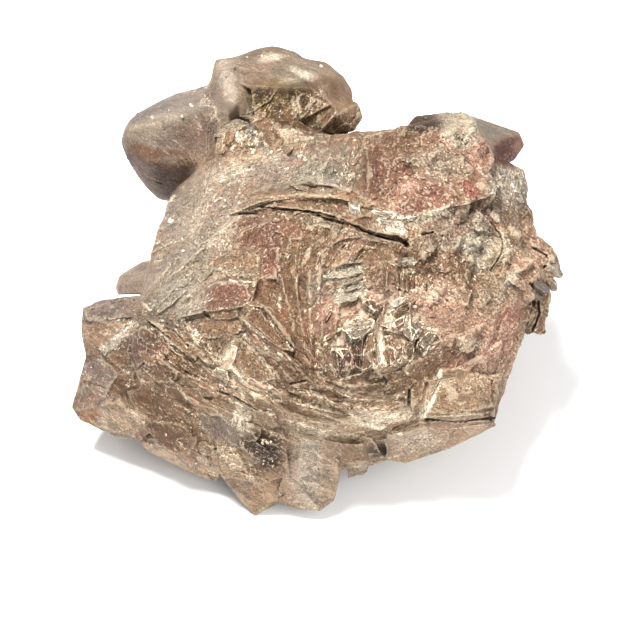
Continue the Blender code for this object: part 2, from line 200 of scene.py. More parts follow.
@dataclass(frozen=True)
class Texture:
    """Which parts of the cluster are granular, and which are smooth old crystal faces."""

    granular: tuple[Spot, ...] = (
        Spot(25, 24, 16, 17, 0, 0.25),
        Spot(36, 10, 12, 16, 0, 0.25),
        Spot(24, 8, 10, 9, 0, 0.4),
        Spot(36, -6, 6, 10, 0, 0.4),
    )
    smooth: tuple[Spot, ...] = (
        Spot(-33, 36, 11, 13, 35, 0.15),
        Spot(-9, 51, 17, 5.2, 0, 0.15),
        Spot(-17.6, 46, 3.4, 6, 0, 0.2),
        Spot(5, 46, 4, 4, 0, 0.2),
        Spot(36, 37.4, 5.4, 3.4, -28, 0.2),
        Spot(38.6, 35, 4.6, 4.6, 0, 0.2),
        Spot(20.4, 40.2, 3.6, 1.6, 0, 0.2),
        Spot(-43, -6, 7, 14, 0, 0.25, 0.55),
        Spot(-40, -17, 9, 7, 0, 0.3, 0.55),
        Spot(-28, -21, 9, 6, -20, 0.3, 0.5),
        Spot(-28, -28, 12, 3.4, -20, 0.3, 0.5),
        Spot(-13, -34, 7, 6, 0, 0.3, 0.55),
        Spot(-2, -32, 8, 8, 0, 0.3, 0.55),
        Spot(-37, 8, 4, 4, 0, 0.3),
    )
    worn: tuple[Spot, ...] = (Spot(-34, 36, 16, 15, 35, 0.2),)
    eased: tuple[Spot, ...] = (Spot(-12, 51, 17, 5, 0, 0.2),)
    soft: tuple[Spot, ...] = (
        Spot(-4, 6, 10, 13, 0, 0.3),
        Spot(28, -15, 9, 5, 4, 0.3),
        Spot(24, 28, 14, 11, 0, 0.3, 0.6),
        Spot(2, -17, 16, 5, -4, 0.3, 0.5),
        Spot(-26, -10, 12, 6, -35, 0.3, 0.5),
        Spot(0, 25.4, 13, 1.8, -6, 0.3),
    )
    quiet: tuple[Spot, ...] = (
        Spot(-24, 20, 9, 16, -32, 0.3),
        Spot(-10, 31, 16, 5, 8, 0.3),
        Spot(24, -24, 14, 4, 14, 0.3),
        Spot(28, -15, 8, 4, 4, 0.3),
        Spot(-3, 6, 8, 12, 0, 0.3, 0.8),
        Spot(-16, 12, 8, 8, 0, 0.3, 0.6),
    )
    powdered: tuple[Spot, ...] = (
        Spot(12, -2, 11, 9, 0, 0.4, 0.6),
        Spot(6, -19, 14, 5, 4, 0.4, 0.7),
        Spot(-15, -11, 8, 7, -30, 0.4, 0.7),
        Spot(-22, 14, 9, 18, -32, 0.4, 0.3),
    )

    def weights(self, u: np.ndarray, v: np.ndarray) -> tuple[np.ndarray, np.ndarray]:
        """The shares of grain and of smoothness at each place.

        Args:
            u, v: places on the face.

        Returns:
            The granular share and the smooth share.
        """
        smooth = joined(self.smooth, u, v)
        return joined(self.granular, u, v) * (1.0 - smooth), smooth


@dataclass(frozen=True)
class Flow:
    """The direction in which the blades run: places (u, v) and degrees from +u."""

    guides: tuple[tuple[float, float, float], ...] = (
        (-27, 24, 52), (-16, 28, 30), (2, 31, 85), (-12, 23, 15), (0, 23, -12), (12, 18, -22),
        (-6, 10, 80), (-2, 3, 88), (4, 14, 60), (5, 9, 20), (-18, 4, 10), (-30, 6, 45),
        (-14, -2, -45), (-8, -6, -50), (-30, -6, -38), (-20, -14, -30), (-10, -18, -20),
        (2, -16, -12), (12, -18, 8), (18, -15, 30), (10, -4, 80), (28, -16, 6), (32, -6, 40),
        (28, 4, -10), (36, 6, -20), (20, 30, 60), (32, 34, 55), (38, 24, -70), (20, 12, -15),
        (-16, 15, 60), (-22, 12, 50), (-17, -6, 65), (-10, -14, -35), (14, 8, 75), (10, 6, 20),
    )

    def angle(self, u: np.ndarray, v: np.ndarray) -> np.ndarray:
        """The direction at each place, in radians.

        Args:
            u, v: places on the face.

        Returns:
            One angle for each place.
        """
        total_x = np.zeros_like(u)
        total_y = np.zeros_like(u)
        for gu, gv, degrees in self.guides:
            weight = ((u - gu) ** 2 + (v - gv) ** 2 + 4.0) ** -1.5
            total_x += weight * math.cos(2.0 * math.radians(degrees))
            total_y += weight * math.sin(2.0 * math.radians(degrees))
        return 0.5 * np.arctan2(total_y, total_x)


# ---------------- colours of the regions


class Ore(Enum):
    """The tints of the cluster: screen colour, metallic share and pale dust."""

    CHALK = ((232, 212, 188), 0.15, 0.75)
    CREAM = ((208, 184, 155), 0.25, 0.5)
    HAZE = ((190, 174, 156), 0.5, 0.0)
    PEARL = ((192, 175, 152), 0.4, 0.3)
    SAND = ((182, 154, 124), 0.4, 0.15)
    TAN = ((166, 136, 106), 0.5, 0.05)
    BRONZE = ((152, 121, 93), 0.6, 0.0)
    UMBER = ((130, 99, 74), 0.6, 0.0)
    INK = ((66, 46, 33), 0.4, 0.0)
    SMOKE = ((106, 70, 45), 0.25, 0.0)
    BRICK = ((126, 86, 68), 0.4, 0.05)
    ROSE = ((170, 126, 106), 0.3, 0.12)
    CORAL = ((178, 132, 110), 0.25, 0.1)
    MAROON = ((92, 46, 34), 0.3, 0.0)
    RUST = ((170, 118, 74), 0.3, 0.0)
    OLIVE = ((112, 91, 50), 0.5, 0.05)
    PEAT = ((112, 83, 58), 0.55, 0.0)
    DUSK = ((123, 106, 94), 0.6, 0.0)
    CARMINE = ((158, 94, 78), 0.3, 0.05)
    MOSS = ((172, 160, 139), 0.4, 0.25)
    ASH = ((149, 132, 112), 0.6, 0.05)
    SILVER = ((168, 157, 140), 0.75, 0.1)
    LILAC = ((150, 131, 114), 0.6, 0.05)

    @property
    def colour(self) -> tuple[int, int, int]:
        """Its screen colour."""
        return self.value[0]

    @property
    def metal(self) -> float:
        """Its metallic share."""
        return self.value[1]

    @property
    def dust(self) -> float:
        """How much pale dust lies on it."""
        return self.value[2]


(CHALK, CREAM, HAZE, PEARL, SAND, TAN, BRONZE, UMBER, INK, SMOKE, BRICK, ROSE, CORAL, MAROON, RUST,
 OLIVE, PEAT, DUSK, CARMINE, MOSS, ASH, SILVER, LILAC) = Ore


@dataclass(frozen=True)
class Patch:
    """A region of one mineral."""

    spot: Spot
    mineral: Ore
    strength: float


# each region's mineral and strength, then its oval; later ones lie over earlier
PATCHES: tuple[Patch, ...] = tuple(Patch(Spot(*oval), mineral, full) for mineral, full, *oval in (
    # shoulder at the upper left
    (ASH, 0.7, -22, 18, 10, 18, 30),
    (PEARL, 0.45, -24, 17, 6, 13, -28),
    (LILAC, 0.85, -10, 29, 16, 5, 10),
    (PEARL, 0.6, -12, 30.4, 12, 3, 14),
    (ASH, 0.85, 2, 31, 9, 4),
    (SILVER, 0.85, -1, 28, 5, 3, -10),
    (ASH, 0.85, -28, 10, 6, 6, 40),
    (SILVER, 0.85, -29, 3, 6, 5, 35),
    (LILAC, 0.7, -31, 22, 3.4, 8, 24),
    # arch plate and the band under its crack
    (BRONZE, 0.85, -5, 24.4, 14, 2.6, -8),
    (ASH, 0.85, -4, 26.6, 11, 1),
    (UMBER, 0.85, 9, 17.6, 9, 1.8, -22),
    (CREAM, 0.85, 13.6, 19.6, 3.2, 2.6),
    (SAND, 0.85, 10.6, 22.6, 3, 2, -30),
    # fan of blades and its red patches
    (BRONZE, 0.85, -6, 6, 10, 14),
    (UMBER, 0.55, -5, 6, 11, 14),
    (BRICK, 0.85, -12.5, 17.4, 5.2, 3.4, 10),
    (BRICK, 0.85, -9.6, 12, 2.2, 4.4),
    (BRICK, 0.85, -18, 4.6, 5.4, 3.2, -5),
    (SAND, 0.5, -14, 1.5, 4, 3, -30),
    (UMBER, 0.85, -8, -1, 5, 3, -50),
    (LILAC, 0.7, -0.4, 6, 2.4, 3.8),
    (ROSE, 0.7, 1.5, 1, 2.4, 4),
    (UMBER, 0.85, -13, -6, 5, 4, -35),
    (UMBER, 0.85, -12, -11, 6, 3, -10),
    (CREAM, 0.85, -19.5, -8, 1.3, 4.4, -32),
    (SAND, 0.85, -11.8, -14.2, 6, 1.5, -14),
    (CREAM, 0.85, -16.4, -10.4, 1.4, 3.2, 10),
    # steps at the left
    (PEAT, 0.7, -27, -6, 10, 6, -36),
    (INK, 0.8, -33, -6, 4.6, 6.6),
    (RUST, 0.45, -32.6, -7.6, 1.4, 1.4),
    # painted highlight: a pale streak across the crystal at the left
    (SILVER, 0.85, -40, -3, 4.4, 3, 30),
    (LILAC, 0.85, -43, 2, 5, 3),
    (PEARL, 0.8, -42, 1, 4.6, 0.5, 8, 0.6),
    (BRONZE, 0.85, -20, -14, 8, 3, -28),
    # curved ledges below the centre
    (BRONZE, 0.85, 9, -12.6, 9, 2.4, -4),
    (UMBER, 0.85, 2, -16, 10, 2.4, -10),
    (CREAM, 0.85, 12, -19.6, 7, 1.8, 6),
    (CREAM, 0.6, -1, -22, 7, 2.2, -2),
    # small crystals in the middle
    (ROSE, 0.7, 12, 2, 8, 6),
    (BRICK, 0.85, 4.6, -7.4, 2, 3.8),
    (BRICK, 0.85, 8.6, -7, 2.4, 4.2),
    (CREAM, 0.85, 12.2, -5, 1, 5),
    (CREAM, 0.6, 12.2, -1, 5, 1.6, 10),
    (MOSS, 0.85, 5.4, 9.6, 4, 1.8, 14),
    (MOSS, 0.85, 5.4, 5.6, 3.4, 1.6, 20),
    (CORAL, 0.5, 11, 8, 2, 4),
    # granular block at the right
    (BRONZE, 0.7, 24, 28, 15, 12),
    (ROSE, 0.4, 24, 27, 13, 10),
    (BRICK, 0.6, 17, 31, 5, 6, 20),
    (UMBER, 0.7, 22, 36, 8, 4),
    (BRICK, 0.85, 11, 30, 2.4, 6),
    (CORAL, 0.95, 20, 24.4, 4.6, 3.4, 12),
    (ASH, 0.7, 26, 32, 5, 3.6),
    (ASH, 0.6, 21.6, 31, 4, 2.6, -30),
    (CARMINE, 0.5, 21.6, 23.6, 4, 2.2, 24, 0.4),
    (CARMINE, 0.8, 25.6, 36, 1.4, 2.4, 40, 0.3),
    (CORAL, 0.9, 32.4, 33, 2.8, 4.6, 10, 0.3),
    (CARMINE, 0.8, 29.8, 26.4, 1.2, 2.4, 40, 0.3),
    (MAROON, 0.35, 33.6, 21, 3.4, 1.8, -20),
    (SILVER, 0.9, 37.6, 27.6, 4, 4.4),
    (UMBER, 0.85, 39.6, 20, 2.4, 4),
    (LILAC, 0.85, 30, 20.4, 7, 3, 20),
    (CHALK, 0.85, 21, 20.6, 5.4, 1.1, 14),
    (LILAC, 0.85, 26, 15, 7, 2.4, 5),
    (MOSS, 0.9, 32.4, 14.2, 4.2, 4.4, 0, 0.3),
    (UMBER, 0.9, 23, 11, 7, 3, -8),
    (CORAL, 0.9, 24, 3.6, 6.2, 4.6, -10),
    (CREAM, 0.45, 23.4, 4.6, 5, 3.4, -10),
    (SAND, 0.85, 22.6, -1.6, 4.4, 1.6, -10),
    (CARMINE, 0.6, 29, 1.8, 1.8, 2, 10),
    (CORAL, 0.6, 42, 12, 4.6, 6.6, -20),
    (SILVER, 0.85, 38, 7.6, 2.4, 2, -40),
    (ASH, 0.85, 33, 4, 6, 2.2, -6),
    (CORAL, 0.7, 38.4, 1.6, 3.6, 2.6, 10),
    (SAND, 0.85, 32, -3, 9, 8, -10),
    (CORAL, 0.5, 27, -2, 12, 7, -10),
    (ROSE, 0.5, 30, -6, 8, 4, -10),
    (CREAM, 0.6, 31, -4.8, 5, 1.2, -10),
    (CORAL, 0.85, 36, -4, 3, 6, -20),
    (CARMINE, 0.6, 38, 1.4, 2, 2.8, -10),
    (CARMINE, 0.4, 27.6, -9.4, 3.4, 1.1, -6),
    (SAND, 0.85, 37.8, 12, 4.4, 7.5, -12),
    (CORAL, 0.6, 39.4, 9.4, 2.2, 3.4, -30),
    (CREAM, 0.8, 37, 15, 1.6, 2.4, 20),
    (PEARL, 0.8, 38.2, 8.4, 1.2, 2.4, -40),
    (UMBER, 0.85, 43.6, 0, 3, 4),
    # wedge at the lower right
    (TAN, 0.8, 28, -15.4, 7.6, 3.2, 4),
    (CREAM, 0.8, 27.4, -12.6, 5.6, 1.3, 8),
    (CHALK, 0.85, 22, -16, 0.9, 4.6, -22),
    (SAND, 0.85, 24, -24, 12, 3, 14),
    (CORAL, 0.4, 22, -23, 9, 1.8, 10),
    (PEARL, 0.6, 19, -24, 6, 2.4, 8),
    (MAROON, 0.85, 34.6, -19.6, 1.6, 2.2),
    (INK, 0.85, 11.6, -26.4, 2.4, 1.6),
    # crystals along the lower left
    (DUSK, 0.8, -42, -8, 7, 16),
    (ASH, 0.5, -42, -18, 6, 5),
    (PEAT, 0.6, -31, -19, 11, 7, -28),
    (PEAT, 0.85, -34, -17, 5.4, 3.4),
    (UMBER, 0.7, -29.6, -22, 6.4, 5, -25),
    (BRONZE, 0.85, -22, -20, 4, 3, -30),
    (PEARL, 0.85, -17, -20, 4, 3.4, -20),
    (INK, 1, -11.4, -26.4, 4.2, 4.4, -20),
    (SAND, 0.85, -19, -26.6, 6, 2.6, -24),
    (HAZE, 0.8, -1.4, -31, 4.6, 7),
    (SAND, 0.85, -13, -36, 5, 4),
    (SAND, 0.85, -27, -30, 9, 1.8, -22),
    (CREAM, 0.7, -40, -19.4, 4.6, 3, -10),
    (UMBER, 0.6, -45, -12, 4, 5),
    (RUST, 0.85, -46.6, -18.6, 2.4, 4, -20),
    (PEARL, 0.85, 8, -31, 3.4, 2),
    # crystals behind the rim
    (LILAC, 0.95, -30, 40, 13, 7, 18),
    (DUSK, 0.95, -32, 38, 12, 8, 20),
    # painted highlight: lighter bands along the thumb crystal's top
    (HAZE, 0.3, -27, 43.6, 9, 2, 24, 0.6),
    (ASH, 0.4, -34, 37.6, 5, 2.4, 24, 0.6),
    (PEARL, 0.5, -31, 40.6, 8, 1, 16, 0.6),
    # painted shade: a dark line under a ledge of the thumb crystal
    (SMOKE, 0.8, -23.4, 36.8, 2.8, 0.7, 14, 0.4),
    (PEAT, 0.4, -24, 36, 5, 5, 0),
    # painted shade: the thumb crystal's underside, which faces down, is darker
    (SMOKE, 0.95, -34.2, 29.6, 6.8, 3.6, -54, 0.15),
    (SMOKE, 0.95, -29.5, 28.2, 5, 2.2, 48, 0.2),
    (INK, 0.5, -31, 28, 4, 1.8, -56, 0.4),
    # painted shade: a dark line under a ledge of the thumb crystal
    (SMOKE, 0.7, -30.8, 33.4, 4, 0.7, -4, 0.4),
    (ASH, 0.6, -30.4, 31.8, 4, 0.6, -6, 0.4),
    (DUSK, 0.7, -22, 35.8, 4, 3, 10),
    (SAND, 0.85, -15, 35.6, 6, 4.4),
    (LILAC, 0.85, -17.6, 47, 5, 7),
    (HAZE, 0.7, -18.4, 48, 1.4, 6, 10),
    (ASH, 0.9, -6, 50.4, 11, 3.8, -10),
    (BRONZE, 0.6, -11, 46.8, 4, 1.8, -10),
    (ROSE, 0.3, -12.4, 50.4, 3.4, 1.2, 20, 0.4),
    # painted highlights: small pale ovals along the top crystals' upper edges
    (CHALK, 0.6, -3, 49, 3.6, 0.9, -24, 0.4),
    (PEARL, 0.7, -5.8, 47.8, 2.2, 0.8, 10, 0.4),
    (CHALK, 0.5, -9.8, 52.4, 2.6, 0.7, 10, 0.4),
    (HAZE, 0.7, 0.6, 47, 2.4, 0.7, -30, 0.4),
    (OLIVE, 0.95, -7.4, 43, 8, 4.2),
    (INK, 0.8, -12.2, 45.4, 0.9, 1.2, 0, 0.3),
    (INK, 0.8, -10, 45.2, 0.8, 1.7, 0, 0.3),
    (INK, 0.7, -7.8, 45.4, 0.9, 1.3, 0, 0.3),
    (INK, 0.8, -5.8, 44.8, 0.8, 1.9, 8, 0.3),
    (INK, 0.8, -3.4, 44.6, 0.9, 1.5, 0, 0.3),
    (SMOKE, 0.8, -1.6, 43.4, 1.2, 2.2, 0, 0.3),
    (INK, 0.5, -8.4, 42, 1.4, 1.8, 0, 0.4),
    (CREAM, 0.8, -4.8, 42.8, 0.9, 1.4, 10, 0.4),
    (SAND, 0.8, -12.6, 41.6, 0.9, 1.6, 0, 0.4),
    (UMBER, 0.8, -7, 37, 8, 3.4, -4),
    (BRONZE, 0.85, 5, 43, 4, 4.4),
    (UMBER, 0.85, 1, 46.4, 4, 2.4),
    (SILVER, 0.9, -11.8, 35.6, 5.4, 1.2, -52, 0.3),
    (HAZE, 0.8, 30, 40, 10, 2.6, -12),
    (CREAM, 0.6, 28.6, 38.2, 4.4, 3.8, 20, 0.25),
    (MOSS, 0.6, 28.6, 38.2, 4.4, 3.8, 20, 0.25),
    (ASH, 0.9, 35, 37.6, 4.6, 2.4, -28, 0.2),
    # the plate's lower face: red of its own, and darkened as painted shade
    (MAROON, 0.95, 38.2, 33.6, 3.6, 3.2, 10, 0.2),
    (ROSE, 0.6, 39.6, 34.6, 1, 1.4, 0, 0.4),
    (INK, 0.9, 20.4, 39.6, 3.8, 2, 0, 0.2),
    (LILAC, 0.85, -37, 8, 4, 4),
))


# ---------------- broad facets and cracks


@dataclass(frozen=True)
class Facet:
    """A broad flat crystal face on the front: outline, mineral, dusty rim, height and slope."""

    outline: Track
    mineral: Ore
    rim: float
    height: float
    slope: tuple[float, float]

    def inside(self, u: np.ndarray, v: np.ndarray) -> np.ndarray:
        """How far inside the outline each place lies, in mm, or outside if negative.

        Args:
            u, v: places on the face.

        Returns:
            One depth for each place.
        """
        corners = np.array(self.outline)
        following = np.roll(corners, -1, axis=0)
        area = np.sum(corners[:, 0] * following[:, 1] - corners[:, 1] * following[:, 0])
        turn = np.sign(area)
        depth = np.full(u.shape, FAR)
        for start, end in zip(corners, following):
            side = (end - start) / np.hypot(*(end - start)) * turn
            depth = np.minimum(depth, side[0] * (v - start[1]) - side[1] * (u - start[0]))
        return depth

    def stand(self, u: np.ndarray, v: np.ndarray, w: np.ndarray, cover: np.ndarray) -> np.ndarray:
        """The shift that lays the skin on the facet's plane.

        Args:
            u, v: places on the face.
            w: the skin's heights there.
            cover: how much each place belongs to the facet.

        Returns:
            The shift in w at each place, in mm.
        """
        middle = np.mean(np.array(self.outline), axis=0)
        du, dv = u - middle[0], v - middle[1]
        inner = cover > 0.6
        shift = (self.height + self.slope[0] * du + self.slope[1] * dv) * FACET_LIFT
        if inner.sum() < LEAST_POINTS:
            return shift
        terms = np.column_stack((du, dv, np.ones(len(du))))
        fit = np.linalg.lstsq(terms[inner], w[inner], rcond=None)[0]
        return shift + np.clip(terms @ fit - w, -0.9, 0.9) * 0.6


def nearby(u: np.ndarray, v: np.ndarray, track: Track, margin: float = 2.5) -> np.ndarray:
    """The indices of the places near a track or outline."""
    low, high = np.min(track, axis=0) - margin, np.max(track, axis=0) + margin
    return np.nonzero((u > low[0]) & (u < high[0]) & (v > low[1]) & (v < high[1]))[0]


@dataclass(frozen=True)
class Line:
    """A line on the face: its track (u, v), its half width in mm, and its depth or strength."""

    track: Track
    width: float
    force: float

    def gap(self, u: np.ndarray, v: np.ndarray) -> np.ndarray:
        """The distance of each place from the track.

        Args:
            u, v: places on the face.

        Returns:
            One distance for each place, in mm.
        """
        gap = np.full(u.shape, FAR)
        for (au, av), (bu, bv) in zip(self.track, self.track[1:]):
            du, dv = bu - au, bv - av
            share = np.clip(((u - au) * du + (v - av) * dv) / (du * du + dv * dv), 0.0, 1.0)
            gap = np.minimum(gap, np.hypot(u - au - share * du, v - av - share * dv))
        return gap


# cracks, sunk into the skin and darkened with painted shade: each one's half width and depth, then its
# track
RIFTS: tuple[Line, ...] = tuple(Line(tuple(track), width, depth) for width, depth, *track in (
    (0.22, 0.6, (-12, 22.6), (-8, 22.2), (-4, 21.9), (0, 21.4), (4, 20.2), (7.4, 18.6)),
    (0.34, 1, (7, 18.8), (9, 17.9), (12, 16.9), (13, 16.7)),
    (0.6, 1.8, (12, 16.9), (15, 16.3), (17, 15.6), (17.5, 15)),
    (0.3, 0.8, (45.2, 10.8), (46.8, 7.6)),
    (0.25, 0.6, (42.8, 14.4), (45.6, 12.6)),
    (0.25, 0.6, (-16, 21.3), (-12.6, 21.3)),
    (0.3, 0.8, (20.6, 17.2), (22.6, 17.6)),
    (0.2, 0.5, (34.2, 19.4), (35.8, 17.6), (36.6, 15.6), (36, 12.6), (34.4, 9.8)),
    (0.28, 0.8, (42, 7.4), (44, 4.6), (44, 1.6), (42.6, -3)),
    (0.28, 0.7, (21, -19.8), (27, -20.3), (35, -19.5)),
    (0.2, 0.5, (-34.4, -0.3), (-30, -3.8)),
    (0.22, 0.5, (-29.4, -2), (-26.4, -5.2)),
    (0.2, 0.5, (-20.6, -14.2), (-17, -15.4), (-12.6, -18)),
    (0.3, 0.7, (17.8, -14), (17.8, -17)),
    (0.3, 0.6, (-23.2, 1.6), (-22, 0.4)),
    (0.22, 0.6, (19.4, -4), (18.9, -4.8), (18.9, -6.4)),
    (0.25, 0.5, (-6, -12.8), (-3, -12.2)),
))


# lines of pale dust: each one's half width and strength, then its track
VEINS: tuple[Line, ...] = tuple(Line(tuple(track), width, full) for width, full, *track in (
    # between the small crystals in the middle
    (0.8, 1, (12.3, -1.8), (12.2, -4.5), (12.3, -7.5), (13.4, -9.2)),
    (0.5, 1, (12.7, -8.2), (10.6, -9.6), (8.3, -10.5), (4.6, -11.8), (2, -13.6)),
    (0.35, 0.8, (13.4, -8.8), (16.4, -9.6), (18.2, -11.4)),
    (0.4, 0.9, (9.4, 6.5), (8.5, 4.1), (8.3, 0.9), (4.1, -1.4), (3, -3.5)),
    (0.45, 1, (10.9, -0.1), (12.7, 1.1), (14.6, -0.1)),
    (0.35, 0.9, (17.7, 1.7), (19.8, 0.4), (21.4, -1.7), (23.5, -1.9)),
    (0.3, 0.8, (16.2, 7.2), (16.2, 4.4), (17.8, 4)),
    (0.35, 0.9, (3.6, -3.4), (3.4, -5.8), (3, -9.8), (4.6, -11.8)),
    (0.35, 0.9, (23.8, -7.2), (24.4, -9), (24.2, -11.6)),
    (0.25, 0.8, (15, -5.6), (15.4, -8.8)),
    # wedge
    (0.9, 1, (24.1, -10.7), (23.7, -13.2), (22.4, -16), (20.8, -19.4)),
    (0.6, 0.5, (24.1, -12.3), (28.7, -11.8), (33.7, -11.2)),
    (0.4, 0.7, (24.1, -14.4), (31.2, -13.4), (34.1, -12.8)),
    (0.4, 0.9, (20.8, -19.4), (27, -19.3), (33.7, -18.6)),
    (0.25, 0.6, (21.6, -18.2), (29.1, -18)),
    # curved ledges
    (0.8, 1, (6.2, -19), (9.5, -21.3), (12.8, -21.8), (16.2, -22.8)),
    (0.9, 1, (9.5, -20.7), (13, -19.6), (17.4, -18.2)),
    (0.3, 0.8, (2, -14), (7, -15.7), (12, -15.9), (14.5, -14.8), (17.4, -15.7)),
    (0.3, 0.7, (-8, -16.2), (-2, -17.2), (4, -18.6), (8.6, -19.4)),
    (0.5, 0.8, (-10, -18.8), (-4, -21), (1, -22.2)),
    (0.25, 0.6, (24.9, -6.5), (27, -4.8), (31.2, -4.4), (35.3, -6.1), (36.6, -9.4)),
    (0.25, 0.6, (27, -4.8), (28.6, -2.8)),
    (0.5, 0.7, (19.9, -24.8), (21.6, -23.2)),
    # block at the right
    (0.8, 1, (12, 21.4), (14.5, 19.9), (17.4, 20.1), (21.6, 20.5), (23.7, 21.5), (26.2, 20.9)),
    (0.35, 0.6, (26.2, 20.9), (26.6, 24.7), (25.8, 27.6), (22, 29.6), (16.6, 28.6)),
    (0.35, 0.6, (13, 24), (15.6, 26.8), (16.4, 30)),
    (0.4, 0.6, (33, 11), (31.6, 8.4), (29, 7.6)),
    # fan
    (0.25, 0.5, (-8, 22.3), (-0.5, 19.5), (5.3, 17.4), (9.5, 15.3)),
    (0.3, 0.6, (-6.8, 13.2), (-8, 8.7), (-8, 2)),
    (0.35, 0.6, (-3.8, 14.9), (-4.7, 7.8)),
    (0.45, 0.9, (-0.1, 14.1), (-0.5, 11.2)),
    (0.3, 0.8, (0.3, 9.1), (3.2, 9.6), (8.6, 10.5), (8.9, 7.4), (3.7, 5.8)),
    (0.35, 0.8, (8.7, 7), (9.1, 3.7), (7.8, 0.4)),
    (0.4, 0.9, (-15.5, 0.5), (-13.8, -1.8), (-10.5, -5.9), (-4.2, -8.4)),
    (0.45, 0.8, (-18, 7.8), (-12.6, 7.6)),
    (0.9, 0.9, (-17.6, -6), (-18, -8.8), (-16.4, -10.9)),
    (0.9, 0.8, (-17.5, -13), (-15, -14.6), (-8, -16)),
    (0.3, 0.6, (-12, 23.4), (-14.6, 21.6), (-18, 19)),
    # steps and the crystals at the left and below
    (0.8, 0.8, (-43.5, -5.5), (-40.6, -3.2), (-37.5, -0.5)),
    (0.3, 0.7, (-45.5, 0.5), (-41, 0.3), (-37.5, -0.5)),
    (0.4, 0.6, (-36, -12.5), (-30.5, -15.5), (-25, -19)),
    (0.4, 0.6, (-32, -17.5), (-29, -19.5)),
    (0.6, 0.6, (-28.5, -24), (-26, -26.5)),
    (0.9, 0.7, (-25, -26), (-20, -27.4), (-14, -29)),
    (0.35, 0.7, (-29, -13), (-24, -18.6), (-17.6, -20)),
    (1, 0.9, (-17, -18.5), (-16.5, -21)),
    (0.4, 0.7, (-26.6, 0.4), (-24.2, -3), (-22.6, -5.6)),
    (0.3, 0.35, (-34, -4), (-28, -8.4), (-24, -10.2)),
    (0.5, 0.6, (-40, -9), (-37.6, -11), (-38.6, -13.4)),
    # rim at the upper left
    (0.7, 0.8, (-31.2, 22.5), (-29, 25)),
    (0.7, 0.9, (-30.8, 20.4), (-29.8, 19.6)),
    (0.6, 0.7, (-20.5, 38), (-17, 39.8), (-12, 37), (-9, 32.4)),
    (0.8, 0.7, (-9.5, 38.3), (-5, 36.2), (0.5, 36.5)),
    (0.3, 0.5, (-28, 8), (-22, 12), (-15, 16)),
    (0.4, 0.5, (-24, 24), (-20, 28), (-12, 31)),
))

